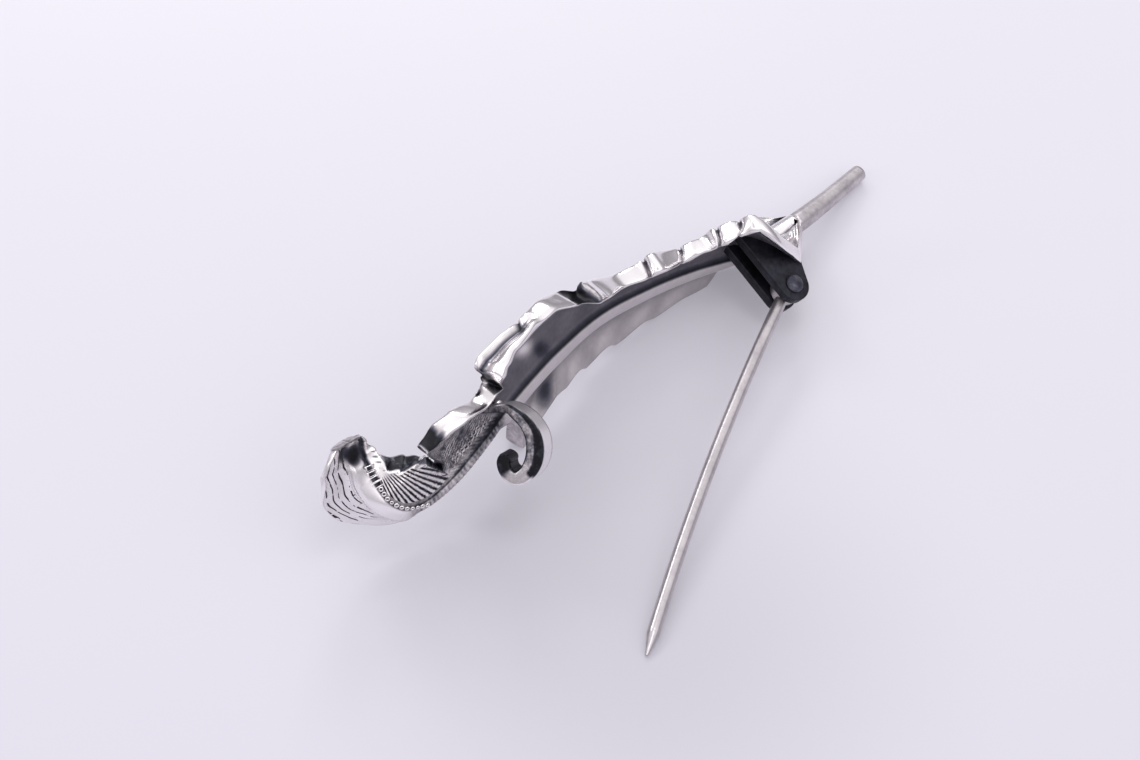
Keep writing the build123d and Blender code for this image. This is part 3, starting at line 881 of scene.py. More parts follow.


# %% [markdown]
# All the silver is one metal in several states: bright where it is rubbed, black where the
# silver sulphide of the patina was left, and worn through between. In a few places the same
# amount of oxide also carries painted shade and painted highlight. Four node groups are
# shared. The first breaks the edge of the oxide with two sizes of noise. The second draws fine
# polishing marks that run one way. The third gives the colour of silver for an amount of oxide.
# The fourth draws the engraver's marks from a point's lie and zones: long broken lines with
# short ticks, the grooves of the fan, and the hatching. They are finer than the mesh, so the
# material draws them dark and presses them in with a bump.


# %% Shared node groups
def node_group(name, inputs, outputs):
    """Empty shader group with named float, vector or colour sockets."""
    group = bpy.data.node_groups.new(name, "ShaderNodeTree")
    for label, kind, value in inputs:
        socket = group.interface.new_socket(name=label, in_out="INPUT", socket_type=kind)
        if value is not None:
            socket.default_value = value
    for label, kind in outputs:
        group.interface.new_socket(name=label, in_out="OUTPUT", socket_type=kind)
    return group, group.nodes.new("NodeGroupInput"), group.nodes.new("NodeGroupOutput")


def add_node(tree, kind, settings=(), **values):
    """Node of a kind, with settings and with values on its sockets by name."""
    node = tree.nodes.new(kind)
    for key, value in settings:
        setattr(node, key, value)
    for key, value in values.items():
        node.inputs[key.replace("_", " ")].default_value = value
    return node


def math_node(tree, operation, first, second=None, clamp=False):
    """Math node fed by sockets or numbers."""
    node = tree.nodes.new("ShaderNodeMath")
    node.operation = operation
    node.use_clamp = clamp
    for index, value in enumerate((first, second)):
        if value is None:
            continue
        if isinstance(value, (int, float)):
            node.inputs[index].default_value = value
        else:
            tree.links.new(value, node.inputs[index])
    return node.outputs[0]


def worn_oxide_group():
    """Mask of the oxide: its amount, broken up by noise and worn off in small spots."""
    group, given, out = node_group(
        "worn_oxide",
        [
            ("Vector", "NodeSocketVector", None),
            ("Amount", "NodeSocketFloat", 0.5),
            ("Grain", "NodeSocketFloat", 3000.0),
            ("Grit", "NodeSocketFloat", 0.3),
        ],
        [("Mask", "NodeSocketFloat"), ("Grain Height", "NodeSocketFloat")],
    )
    calc = partial(math_node, group)
    amount, grain = given.outputs["Amount"], given.outputs["Grain"]
    fine = add_node(group, "ShaderNodeTexNoise", Detail=4.0, Roughness=0.6)
    coarse = add_node(group, "ShaderNodeTexNoise", Detail=2.0)
    for noise, scale in ((fine, grain), (coarse, calc("MULTIPLY", grain, 0.22))):
        group.links.new(given.outputs["Vector"], noise.inputs["Vector"])
        group.links.new(scale, noise.inputs["Scale"])
    centred = calc("SUBTRACT", calc("ADD", fine.outputs["Fac"], coarse.outputs["Fac"]), 1.0)
    swing = calc("MULTIPLY", centred, given.outputs["Grit"])
    room = calc("MULTIPLY", amount, calc("SUBTRACT", 1.25, amount))
    change = calc("MULTIPLY", swing, calc("MULTIPLY", room, 7.0))
    group.links.new(calc("ADD", amount, change, clamp=True), out.inputs["Mask"])
    group.links.new(fine.outputs["Fac"], out.inputs["Grain Height"])
    return group


def polishing_marks_group():
    """Fine uneven marks that are long one way, as a buff or emery leaves."""
    group, given, out = node_group(
        "polishing_marks",
        [("Vector", "NodeSocketVector", None), ("Scale", "NodeSocketFloat", 2500.0)],
        [("Height", "NodeSocketFloat")],
    )
    stretch = add_node(group, "ShaderNodeMapping", Scale=(0.08, 1.0, 1.0), Rotation=(0.3, 0.5, 0.75))
    noise = add_node(group, "ShaderNodeTexNoise", Detail=3.0, Roughness=0.55)
    group.links.new(given.outputs["Vector"], stretch.inputs["Vector"])
    group.links.new(stretch.outputs["Vector"], noise.inputs["Vector"])
    group.links.new(given.outputs["Scale"], noise.inputs["Scale"])
    group.links.new(noise.outputs["Fac"], out.inputs["Height"])
    return group


def colour_ramp(tree, amount, stops):
    """Colour for an amount, blended between stops whose places run from 0 to 1."""
    ramp = tree.nodes.new("ShaderNodeValToRGB")
    ramp.color_ramp.elements[0].color = (*stops[0][1], 1)
    ramp.color_ramp.elements[1].color = (*stops[-1][1], 1)
    for place, colour in stops[1:-1]:
        ramp.color_ramp.elements.new(place).color = (*colour, 1)
    tree.links.new(amount, ramp.inputs["Fac"])
    return ramp.outputs["Color"]


SILVER_TONES = [
    # amount of oxide and the colour of the metal
    (0.00, (0.910, 0.885, 0.900)),
    (0.30, (0.560, 0.525, 0.545)),
    (0.58, (0.190, 0.180, 0.205)),
    (0.80, (0.053, 0.054, 0.077)),
    (1.00, (0.008, 0.008, 0.011)),
]


def silver_tone_group():
    """Colour, roughness and metalness of silver for an amount of oxide."""
    group, given, out = node_group(
        "silver_tone",
        [("Oxide", "NodeSocketFloat", 0.0), ("Polish", "NodeSocketFloat", 0.14)],
        [("Colour", "NodeSocketColor"), ("Roughness", "NodeSocketFloat"), ("Metalness", "NodeSocketFloat")],
    )
    calc = partial(math_node, group)
    oxide = given.outputs["Oxide"]
    group.links.new(colour_ramp(group, oxide, SILVER_TONES), out.inputs["Colour"])
    roughness = calc("ADD", calc("MULTIPLY", oxide, 0.22), given.outputs["Polish"])
    metalness = calc("ADD", calc("MULTIPLY", oxide, -0.30), 1.0)
    group.links.new(roughness, out.inputs["Roughness"])
    group.links.new(metalness, out.inputs["Metalness"])
    return group


def groove(tree, phase, width):
    """Mask that is 1 in the middle of a groove at each whole phase and 0 beyond its width."""
    offset = math_node(tree, "PINGPONG", phase, 0.5)
    return math_node(tree, "SUBTRACT", 1.0, math_node(tree, "DIVIDE", offset, width), clamp=True)


def engraved_marks_group():
    """Mask of the engraver's marks: long broken lines with ticks, the fan and the hatching."""
    group, given, out = node_group(
        "engraved_marks",
        [
            ("Lie", "NodeSocketVector", None),
            ("Zones", "NodeSocketVector", None),
            ("Line Spacing", "NodeSocketFloat", 0.62),
            ("Line Width", "NodeSocketFloat", 0.15),
            ("Tick Spacing", "NodeSocketFloat", 0.90),
            ("Fan Width", "NodeSocketFloat", 0.34),
            ("Hatch Spacing", "NodeSocketFloat", 0.30),
        ],
        [("Mask", "NodeSocketFloat")],
    )
    calc = partial(math_node, group)
    lie = group.nodes.new("ShaderNodeSeparateXYZ")
    zones = group.nodes.new("ShaderNodeSeparateXYZ")
    group.links.new(given.outputs["Lie"], lie.inputs["Vector"])
    group.links.new(given.outputs["Zones"], zones.inputs["Vector"])
    along, outward, fan_phase = lie.outputs
    in_lines, in_fan, in_hatching = zones.outputs
    slow = add_node(group, "ShaderNodeTexNoise", Scale=0.42, Detail=1.5)
    quick = add_node(group, "ShaderNodeTexNoise", Scale=1.5, Detail=2.0)
    fine = add_node(group, "ShaderNodeTexNoise", Scale=4.0, Detail=2.0)
    for noise in (slow, quick, fine):
        group.links.new(given.outputs["Lie"], noise.inputs["Vector"])
    # Long lines that bend slowly and break off where the quick noise is low
    bend = calc("MULTIPLY", calc("SUBTRACT", slow.outputs["Fac"], 0.5), 1.5)
    line_phase = calc("DIVIDE", calc("ADD", outward, bend), given.outputs["Line Spacing"])
    present = calc("SUBTRACT", quick.outputs["Fac"], 0.41)
    swell = calc("MULTIPLY", present, 14.0, clamp=True)
    lines = groove(group, line_phase, calc("MULTIPLY", given.outputs["Line Width"], swell))
    lines = calc("MULTIPLY", lines, calc("GREATER_THAN", present, 0.02))
    # Short ticks across the first of the lines, like the rungs of a ladder
    ticks = groove(group, calc("DIVIDE", along, given.outputs["Tick Spacing"]), 0.09)
    from_ladder = calc("ABSOLUTE", calc("SUBTRACT", outward, 1.0))
    ticks = calc("MULTIPLY", ticks, calc("LESS_THAN", from_ladder, 0.34))
    ticks = calc("MULTIPLY", ticks, calc("GREATER_THAN", quick.outputs["Fac"], 0.5))
    drawn = calc("MAXIMUM", calc("MULTIPLY", lines, 1.8, clamp=True), ticks)
    drawn = calc("MULTIPLY", drawn, in_lines)
    # Grooves of the fan, and the crossing scratches of the hatching
    waver = calc("MULTIPLY", calc("SUBTRACT", fine.outputs["Fac"], 0.5), 0.5)
    fan = groove(group, calc("ADD", fan_phase, waver), given.outputs["Fan Width"])
    fan = calc("MULTIPLY", calc("MULTIPLY", fan, in_fan), 1.5, clamp=True)
    aslant = calc("ADD", calc("MULTIPLY", along, 0.55), outward)
    hatch_phase = calc("DIVIDE", aslant, given.outputs["Hatch Spacing"])
    hatch = groove(group, calc("ADD", hatch_phase, calc("MULTIPLY", waver, 3.0)), 0.36)
    hatch = calc("MULTIPLY", hatch, in_hatching)
    marks = calc("MAXIMUM", drawn, calc("MAXIMUM", fan, hatch))
    group.links.new(marks, out.inputs["Mask"])
    return group


WORN_OXIDE = worn_oxide_group()
POLISHING_MARKS = polishing_marks_group()
SILVER_TONE = silver_tone_group()
ENGRAVED_MARKS = engraved_marks_group()
print("node groups:", [group.name for group in bpy.data.node_groups])


# %% Silver materials built from the groups
SILVER_POLISH = 0.10
GRAIN_HEIGHT = 0.03 * MM
ENGRAVING_DEPTH = 0.09 * MM


def silver_material(name, grain=2600.0, mark_scale=3000.0, mark_height=0.000008, base=(0.0, 0.0, 0.0)):
    """Silver with the piece's own patina, on top of a base patina, and with marks of its own scale."""
    material = bpy.data.materials.new(name)
    material.use_nodes = True
    tree = material.node_tree
    shader = tree.nodes["Principled BSDF"]
    place = tree.nodes.new("ShaderNodeTexCoord").outputs["Object"]
    patina_kept, lie, zones = [
        add_node(tree, "ShaderNodeAttribute", [("attribute_name", label)]).outputs["Vector"]
        for label in ("patina", "lie", "zones")
    ]
    parts = tree.nodes.new("ShaderNodeSeparateXYZ")
    tree.links.new(patina_kept, parts.inputs["Vector"])
    oxide, grit, satin = [math_node(tree, "ADD", parts.outputs[i], base[i], clamp=True) for i in range(3)]
    lines = add_node(tree, "ShaderNodeGroup", [("node_tree", ENGRAVED_MARKS)])
    tree.links.new(lie, lines.inputs["Lie"])
    tree.links.new(zones, lines.inputs["Zones"])
    worn = add_node(tree, "ShaderNodeGroup", [("node_tree", WORN_OXIDE)], Grain=grain)
    tree.links.new(place, worn.inputs["Vector"])
    tree.links.new(oxide, worn.inputs["Amount"])
    tree.links.new(grit, worn.inputs["Grit"])
    blackened = math_node(tree, "MAXIMUM", worn.outputs["Mask"], lines.outputs["Mask"])
    tone = add_node(tree, "ShaderNodeGroup", [("node_tree", SILVER_TONE)])
    tree.links.new(blackened, tone.inputs["Oxide"])
    tree.links.new(math_node(tree, "ADD", satin, SILVER_POLISH), tone.inputs["Polish"])
    tree.links.new(tone.outputs["Colour"], shader.inputs["Base Color"])
    tree.links.new(tone.outputs["Roughness"], shader.inputs["Roughness"])
    tree.links.new(tone.outputs["Metalness"], shader.inputs["Metallic"])
    marks = add_node(tree, "ShaderNodeGroup", [("node_tree", POLISHING_MARKS)], Scale=mark_scale)
    tree.links.new(place, marks.inputs["Vector"])
    rough_grit = math_node(tree, "ADD", grit, 0.15)
    heights = (
        (math_node(tree, "MULTIPLY", worn.outputs["Grain Height"], rough_grit), GRAIN_HEIGHT),
        (math_node(tree, "MULTIPLY", lines.outputs["Mask"], -1.0), ENGRAVING_DEPTH),
        (marks.outputs["Height"], mark_height),
    )
    normal = None
    for height, distance in heights:
        bump = add_node(tree, "ShaderNodeBump", Strength=0.6, Distance=distance)
        tree.links.new(height, bump.inputs["Height"])
        if normal:
            tree.links.new(normal, bump.inputs["Normal"])
        normal = bump.outputs["Normal"]
    tree.links.new(normal, shader.inputs["Normal"])
    return material


CAST_SILVER = silver_material("cast_silver", mark_height=0.0000035)
BAND_SILVER = silver_material("band_silver", grain=3400.0, mark_scale=4200.0)
WIRE_SILVER = silver_material(
    "wire_silver", mark_scale=5200.0, mark_height=0.00001, base=(0.34, 0.10, 0.12)
)
# The ears and the rivet are near-black: partly oxide, partly painted shade for the shadow round the hinge.
EAR_SILVER_PAINTED_SHADE = silver_material("ear_silver_painted_shade", base=(0.96, 0.10, 0.12))
RIVET_SILVER_PAINTED_SHADE = silver_material("rivet_silver", base=(0.78, 0.20, 0.15))
BEAD_SILVER = silver_material("bead_silver", base=(0.06, 0.30, 0.04))
print("materials:", [material.name for material in bpy.data.materials])

# %% The feather's body on its CAD body
feather_body = skin_mesh(
    "feather_body", rings, {"patina": paint, "lie": lie, "zones": zones}, CAST_SILVER
)
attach(feather_body, "brooch")
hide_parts("feather")
print("feather faces:", len(feather_body.data.polygons))

# %% [markdown]
# Along the inside of the curled tip, between the smooth band of the shaft and the fan, the
# maker punched a row of marks: a few small frames at the top, then a string of rings. They are
# small raised loops on the dark foot of the fan. A line of points carries them, and Geometry
# Nodes sets one loop at each step along it, turned to lie flat on the surface.

# %% Line of the punched row
ROW_LINE = [
    # station along the shaft and distance out from it in mm
    (0.956, 0.86),
    (0.931, 0.80),
    (0.905, 0.76),
    (0.884, 0.80),
    (0.868, 0.72),
    (0.856, 0.50),
    (0.846, 0.22),
]
ROW_PITCH = 0.43
FRAMES_IN_ROW = 4
FRAME_WIDTH = 0.36
FRAME_HEIGHT = 0.74
ROW_RING_RADIUS = 0.14
ROW_RIDGE_RADIUS = 0.06
row = through_rows(ROW_LINE, 8)
row_place, _, row_across, row_front = shaft_frames(row[:, 0])
row_lift = 0.46 + 0.05 * soft_step(0.5, 0.2, row[:, 1])
row_points = row_place + row_across * row[:, 1:2] - row_front * row_lift[:, None]
row_length = float(np.linalg.norm(np.diff(row_points, axis=0), axis=1).sum())
print("punched row length", round(row_length, 2), "mm")


# %% Geometry Nodes helpers
def geometry_tree(name, inputs):
    """Empty Geometry Nodes tree with a geometry in and out and named float inputs in metres."""
    tree = bpy.data.node_groups.new(name, "GeometryNodeTree")
    tree.interface.new_socket(name="Geometry", in_out="INPUT", socket_type="NodeSocketGeometry")
    for label, value in inputs:
        socket = tree.interface.new_socket(name=label, in_out="INPUT", socket_type="NodeSocketFloat")
        socket.default_value = value
    tree.interface.new_socket(name="Geometry", in_out="OUTPUT", socket_type="NodeSocketGeometry")
    return tree, tree.nodes.new("NodeGroupInput"), tree.nodes.new("NodeGroupOutput")


def chain(tree, kind, geometry, socket_in, socket_out, settings=(), **values):
    """Node added after a geometry, with the socket to go on from."""
    node = add_node(tree, kind, settings, **values)
    tree.links.new(geometry, node.inputs[socket_in])
    return node, node.outputs[socket_out]


def finish_tree(tree, out, geometry, material):
    """Ends a tree in smooth shading, realized instances and a material."""
    for kind, values in (
        ("GeometryNodeRealizeInstances", {}),
        ("GeometryNodeSetShadeSmooth", {}),
        ("GeometryNodeSetMaterial", {"Material": material}),
    ):
        geometry = chain(tree, kind, geometry, "Geometry", "Geometry", **values)[1]
    tree.links.new(geometry, out.inputs["Geometry"])


def grow(name, carrier_mesh, tree, values):
    """Plain mesh that a tree grows on a carrier, with the tree's inputs set by their identifiers."""
    carrier = bpy.data.objects.new(name, carrier_mesh)
    bpy.context.scene.collection.objects.link(carrier)
    modifier = carrier.modifiers.new("grow", "NODES")
    modifier.node_group = tree
    for item in tree.interface.items_tree:
        if item.in_out == "INPUT" and item.name in values:
            modifier[item.identifier] = values[item.name]
    ready = carrier.evaluated_get(bpy.context.evaluated_depsgraph_get())
    mesh = bpy.data.meshes.new_from_object(ready)
    carrier.modifiers.remove(modifier)
    carrier.data = mesh
    mesh.name = name
    return carrier


def line_mesh(name, points, facing=None):
    """Chain of edges through bench points, with a facing direction at each point if given."""
    mesh = bpy.data.meshes.new(name)
    places = on_table(points)
    mesh.from_pydata(places.tolist(), [(i, i + 1) for i in range(len(places) - 1)], [])
    if facing is not None:
        kept = mesh.attributes.new("facing", "FLOAT_VECTOR", "POINT")
        kept.data.foreach_set("vector", (facing @ BENCH).astype(np.float32).ravel())
    return mesh


# %% The punched row
def punched_row_tree():
    """Small frames and then rings along a line, each turned to the facing kept on the line."""
    tree, given, out = geometry_tree(
        "punched_row",
        [
            ("Pitch", 0.00043),
            ("Ring Radius", 0.00014),
            ("Ridge Radius", 0.00006),
            ("Frame Width", 0.00036),
            ("Frame Height", 0.00074),
            ("Frames", 4.0),
        ],
    )
    curve = chain(tree, "GeometryNodeMeshToCurve", given.outputs["Geometry"], "Mesh", "Curve")[1]
    by_length = [("mode", "LENGTH")]
    resample, curve = chain(tree, "GeometryNodeResampleCurve", curve, "Curve", "Curve", by_length)
    tree.links.new(given.outputs["Pitch"], resample.inputs["Length"])
    ridge = add_node(tree, "GeometryNodeCurvePrimitiveCircle", Resolution=6)
    tree.links.new(given.outputs["Ridge Radius"], ridge.inputs["Radius"])
    ring = add_node(tree, "GeometryNodeCurvePrimitiveCircle", Resolution=14)
    tree.links.new(given.outputs["Ring Radius"], ring.inputs["Radius"])
    frame_shape = tree.nodes.new("GeometryNodeCurvePrimitiveQuadrilateral")
    tree.links.new(given.outputs["Frame Width"], frame_shape.inputs["Width"])
    tree.links.new(given.outputs["Frame Height"], frame_shape.inputs["Height"])
    loops = []
    for shape in (ring.outputs["Curve"], frame_shape.outputs["Curve"]):
        swept, mesh = chain(tree, "GeometryNodeCurveToMesh", shape, "Curve", "Mesh")
        tree.links.new(ridge.outputs["Curve"], swept.inputs["Profile Curve"])
        loops.append(mesh)
    as_vector = [("data_type", "FLOAT_VECTOR")]
    facing = add_node(tree, "GeometryNodeInputNamedAttribute", as_vector, Name="facing")
    upright = add_node(tree, "FunctionNodeAlignRotationToVector", [("axis", "Z")])
    tree.links.new(facing.outputs["Attribute"], upright.inputs["Vector"])
    turned = add_node(tree, "FunctionNodeAlignRotationToVector", [("axis", "X"), ("pivot_axis", "Z")])
    tree.links.new(upright.outputs["Rotation"], turned.inputs["Rotation"])
    tree.links.new(tree.nodes.new("GeometryNodeInputTangent").outputs["Tangent"], turned.inputs["Vector"])
    index = tree.nodes.new("GeometryNodeInputIndex").outputs["Index"]
    is_frame = math_node(tree, "LESS_THAN", index, given.outputs["Frames"])
    is_ring = math_node(tree, "SUBTRACT", 1.0, is_frame)
    size = add_node(tree, "FunctionNodeRandomValue", [("data_type", "FLOAT")], Seed=11)
    # Sockets 2 and 3 take the smallest and the largest size, and output 1 gives the size
    size.inputs[2].default_value = 0.80
    size.inputs[3].default_value = 1.15
    join = tree.nodes.new("GeometryNodeJoinGeometry")
    for mesh, chosen in zip(loops, (is_ring, is_frame)):
        spread, placed = chain(tree, "GeometryNodeInstanceOnPoints", curve, "Points", "Instances")
        tree.links.new(mesh, spread.inputs["Instance"])
        tree.links.new(chosen, spread.inputs["Selection"])
        tree.links.new(turned.outputs["Rotation"], spread.inputs["Rotation"])
        tree.links.new(size.outputs[1], spread.inputs["Scale"])
        tree.links.new(placed, join.inputs["Geometry"])
    finish_tree(tree, out, join.outputs["Geometry"], BEAD_SILVER)
    return tree


punched_row = grow(
    "punched_row",
    line_mesh("punched_row_line", row_points, -row_front),
    punched_row_tree(),
    {
        "Pitch": ROW_PITCH * MM,
        "Ring Radius": ROW_RING_RADIUS * MM,
        "Ridge Radius": ROW_RIDGE_RADIUS * MM,
        "Frame Width": FRAME_WIDTH * MM,
        "Frame Height": FRAME_HEIGHT * MM,
        "Frames": float(FRAMES_IN_ROW),
    },
)
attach(punched_row, "brooch")
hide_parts("feather")
print("punched row faces:", len(punched_row.data.polygons))

# %% [markdown]
# The catch is a strip of silver that thickens towards its inner end, filed round on its outer
# face and curled into a hook. Its section is a rounded oblong, and the sweep keeps that section
# square to the curl. Its outer face was buffed, a black streak was left along the corner that
# the buff did not reach, the cut side is brown and brushed, and the inside of the curl is black.


# %% Sweep of a section that changes along a path
def sweep_rings(path, aside, up, sections):
    """Rings of a swept section: each section's points are shares along aside and up."""
    return np.array(
        [
            place + section[:, :1] * side + section[:, 1:] * rise
            for place, side, rise, section in zip(path, aside, up, sections)
        ]
    )


SECTION_POINTS = 56


def rounded_oblong(width, height, radius):
    """Closed outline of an oblong with rounded corners, anticlockwise, in even steps."""
    corners = []
    for x, y, start in ((1, 1, 0), (-1, 1, 90), (-1, -1, 180), (1, -1, 270)):
        turn = np.radians(np.linspace(start, start + 90, 7))
        centre = np.array([x * (width / 2 - radius), y * (height / 2 - radius)])
        corners.append(centre + radius * np.stack([np.cos(turn), np.sin(turn)], -1))
    outline = np.concatenate(corners + [corners[0][:1]])
    walked = np.concatenate([[0], np.linalg.norm(np.diff(outline, axis=0), axis=1).cumsum()])
    even = np.linspace(0, walked[-1], SECTION_POINTS, endpoint=False)
    return np.stack([np.interp(even, walked, outline[:, i]) for i in range(2)], -1)


# %% The curled catch
turn = math.radians(CATCH_TURN)
curl_aside = np.array([-math.sin(turn), math.cos(turn), 0.0])
curl_through = np.array([math.cos(turn), math.sin(turn), 0.0])
catch_origin = np.array([CATCH_FROM_HINGE, 0.0, 0.0])
foot_station = np.array([CATCH_FOOT_STATION])
foot_reach = read_table(UPPER_RIM, foot_station, 1)
foot_middle = vane_places(foot_station, True, np.array([CATCH_FOOT_SHARE]), foot_reach)[0][0]
foot_row = ((foot_middle - catch_origin) @ curl_aside / CATCH_WIDTH, foot_middle[2] / CATCH_WIDTH, 0.62)
curl = through_rows([foot_row] + CATCH_CURL, 16)
curl_line = catch_origin + (curl[:, :1] * curl_aside + curl[:, 1:2] * [0.0, 0.0, 1.0]) * CATCH_WIDTH
curl_along = unit(np.gradient(curl_line, axis=0))
curl_normal = np.cross(curl_along, curl_through)
curl_share = np.linspace(0, 1, len(curl_line))
CATCH_CORNER = 0.16
CLOSING_FROM = 0.955


def catch_patina(share, beside, above):
    """Patina round the catch's section at a share of its length, by place across and through it."""
    streak_width = 0.16 + 0.36 * soft_step(0.10, 0.50, share)
    streak = soft_step(0.40, 0.46, beside) * soft_step(streak_width - 0.46, streak_width - 0.54, above)
    streak = streak * soft_step(0.08, 0.16, share) * soft_step(0.62, 0.58, share)
    cut_side = soft_step(0.40, 0.46, beside) * (above > -0.36)
    cut_side = cut_side * (1 - 0.5 * soft_step(0.58, 0.66, share))
    inside = soft_step(0.36, 0.46, above)
    curled_end = soft_step(0.76, 0.84, share)
    edge_line = soft_step(-0.34, -0.42, beside) * (above < -0.2)
    outer_face = soft_step(-0.40, -0.46, above) * soft_step(0.60, 0.35, share)
    oxide = 0.02 + 0.52 * cut_side + 0.95 * streak + 0.9 * inside + 0.85 * curled_end + 0.75 * edge_line
    return patina(oxide, 0.10 + 0.30 * cut_side, 0.06 + 0.15 * cut_side + 0.20 * outer_face)


sections = []
catch_paint = []
for share, wall in zip(curl_share, curl[:, 2]):
    closing = max(0.0, (share - CLOSING_FROM) / (1 - CLOSING_FROM))
    end = math.sqrt(max(0.02, 1 - closing**2))
    height = CATCH_WALL * wall * end
    band = CATCH_BAND * (0.45 + 0.55 * soft_step(0.02, 0.26, share))
    section = rounded_oblong(band, height, CATCH_CORNER * end)
    catch_paint.append(catch_patina(share, section[:, 0] / band, section[:, 1] / height))
    sections.append(section - [(CATCH_BAND - band) / 2, 0.0])
catch_paint = np.array(catch_paint)
catch_rings = sweep_rings(curl_line, [curl_through] * len(curl_line), curl_normal, sections)
catch_band = skin_mesh("catch_band", catch_rings, {"patina": catch_paint}, BAND_SILVER)
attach(catch_band, "brooch")
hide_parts("feather")
print("catch faces:", len(catch_band.data.polygons))

# %% [markdown]
# A small ball of solder stands where the catch meets the vane. It ran a little way along the
# vane before it set, so its centre is moved from the foot of the catch.

# %% The solder ball
SOLDER_STATION = 0.678
SOLDER_OUT = 2.00
SOLDER_RADIUS = 0.38
SOLDER_LIFT = 0.70
SOLDER_RUN = (0.28, 0.38, -0.05)
solder_station = np.array([SOLDER_STATION])
solder_reach = read_table(UPPER_RIM, solder_station, 2)
solder_places = vane_places(solder_station, True, SOLDER_OUT / solder_reach, solder_reach)
solder_middle, solder_facing = solder_places[0][0], solder_places[1][0]
solder_centre = solder_middle - solder_facing * SOLDER_LIFT + np.array(SOLDER_RUN)
ball_side = unit(np.cross(solder_facing, [0.3, 0.9, 0.1]))
ball_rise = np.cross(solder_facing, ball_side)
ball_rings = []
for polar in np.linspace(0.08, math.pi - 0.08, 14):
    around = np.linspace(0, 2 * math.pi, 24, endpoint=False)[:, None]
    ring = ball_side * np.cos(around) * math.sin(polar) + ball_rise * np.sin(around) * math.sin(polar)
    ball_rings.append(solder_centre + SOLDER_RADIUS * (ring - solder_facing * math.cos(polar)))
ball_rings = np.array(ball_rings)
ball_paint = np.tile(patina(0.25, 0.7, 0.05), (*ball_rings.shape[:2], 1))
solder_ball = skin_mesh("solder_ball", ball_rings, {"patina": ball_paint}, BAND_SILVER)
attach(solder_ball, "brooch")
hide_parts("feather")
print("solder ball at", solder_centre.round(2))

# %% [markdown]
# Two ears of sheet silver stand on the back of the vane and carry the rivet. Each is a rounded
# plate that widens to its foot. They were soldered and never polished, and their near-black is
# partly oxide and partly painted shade for the shadow round the hinge. A bevel takes the
# sharpness off the sheet.


# %% The hinge ears
EAR_BEVEL = 0.09


def vane_height(x, y):
    """Height of the middle of the feather above a place beside the hinge."""
    station, share = np.meshgrid(np.linspace(FIRST_BARB, 1, 500), np.linspace(0, 1, 12), indexing="ij")
    reaches = {True: read_table(UPPER_RIM, station, 2), False: lower_reach(station)}
    sides = [vane_places(station, side, share, reach)[0] for side, reach in reaches.items()]
    places = np.concatenate([side.reshape(-1, 3) for side in sides])
    nearest = np.argmin((places[:, 0] - x) ** 2 + (places[:, 1] - y) ** 2)
    return places[nearest, 2]


def hinge_ear(side):
    """Bevelled ear on one side of the eye."""
    middle = side * (EYE_WIDTH / 2 + SIDE_CLEARANCE + EAR_WALL / 2)
    left = vane_height(-EAR_FOOT, middle)
    right = vane_height(EAR_FOOT, middle)
    turn = np.radians(np.linspace(195, 345, 22))
    outline = [(EAR_RADIUS * math.cos(t), EAR_RADIUS * math.sin(t)) for t in turn]
    outline += [(EAR_FOOT, right), (-EAR_FOOT, left)]
    shape = bmesh.new()
    flat = [shape.verts.new((x, middle - EAR_WALL / 2, z)) for x, z in outline]
    face = shape.faces.new(flat)
    pushed = bmesh.ops.extrude_face_region(shape, geom=[face])
    moved = [item for item in pushed["geom"] if isinstance(item, bmesh.types.BMVert)]
    bmesh.ops.translate(shape, verts=moved, vec=(0, EAR_WALL, 0))
    bmesh.ops.recalc_face_normals(shape, faces=shape.faces)
    edges = list(shape.edges)
    bmesh.ops.bevel(
        shape, geom=edges, offset=EAR_BEVEL, segments=3, affect="EDGES", profile=0.6, clamp_overlap=True
    )
    mesh = bpy.data.meshes.new("ear")
    shape.to_mesh(mesh)
    shape.free()
    points = np.array([vertex.co for vertex in mesh.vertices])
    mesh.vertices.foreach_set("co", on_table(points).astype(np.float32).ravel())
    mesh.shade_smooth()
    name = "hinge_ear_upper" if side > 0 else "hinge_ear_lower"
    piece = bpy.data.objects.new(name, mesh)
    bpy.context.scene.collection.objects.link(piece)
    mesh.materials.append(EAR_SILVER_PAINTED_SHADE)
    return piece


for side in (-1, 1):
    ear = hinge_ear(side)
    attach(ear, "brooch")
    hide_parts("feather")
    print(ear.name, "faces:", len(ear.data.polygons))

# %% [markdown]
# The rivet is a short rod whose ends were hammered into low domes. Its outline is turned about
# the rivet's own direction. Its dark colour is partly oxide and partly painted shade.

# %% The rivet
rivet_reach = EYE_WIDTH / 2 + SIDE_CLEARANCE + EAR_WALL + RIVET_GAP
head = [
    # radius and height beyond the ear
    (0.20, 1.00),
    (0.55, 0.90),
    (0.85, 0.62),
    (1.00, 0.30),
    (1.00, 0.06),
    (0.94, 0.00),
]
rivet_outline = [(RIVET_HEAD_RADIUS * r, -rivet_reach - RIVET_HEAD_HEIGHT * h) for r, h in head]
rivet_outline += [(RIVET_RADIUS, -rivet_reach), (RIVET_RADIUS, rivet_reach)]
rivet_outline += [(RIVET_HEAD_RADIUS * r, rivet_reach + RIVET_HEAD_HEIGHT * h) for r, h in reversed(head)]
around = np.linspace(0, 2 * math.pi, 48, endpoint=False)
circle = np.stack([np.cos(around), 0 * around, np.sin(around)], -1)
rivet_rings = np.array([r * circle + [0.0, y, 0.0] for r, y in rivet_outline])
rivet = skin_mesh("rivet", rivet_rings, {}, RIVET_SILVER_PAINTED_SHADE)
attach(rivet, "brooch")
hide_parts("hinge_rivet")
print("rivet faces:", len(rivet.data.polygons))

# %% [markdown]
# The pin is one piece of drawn wire, slightly bowed, with a flat eye bent round the rivet and
# a point ground to a long cone. Geometry Nodes sweeps a round profile along the bowed line and
# narrows it over the length of the point. The eye is a ring with a rounded section, in a cell
# of its own.

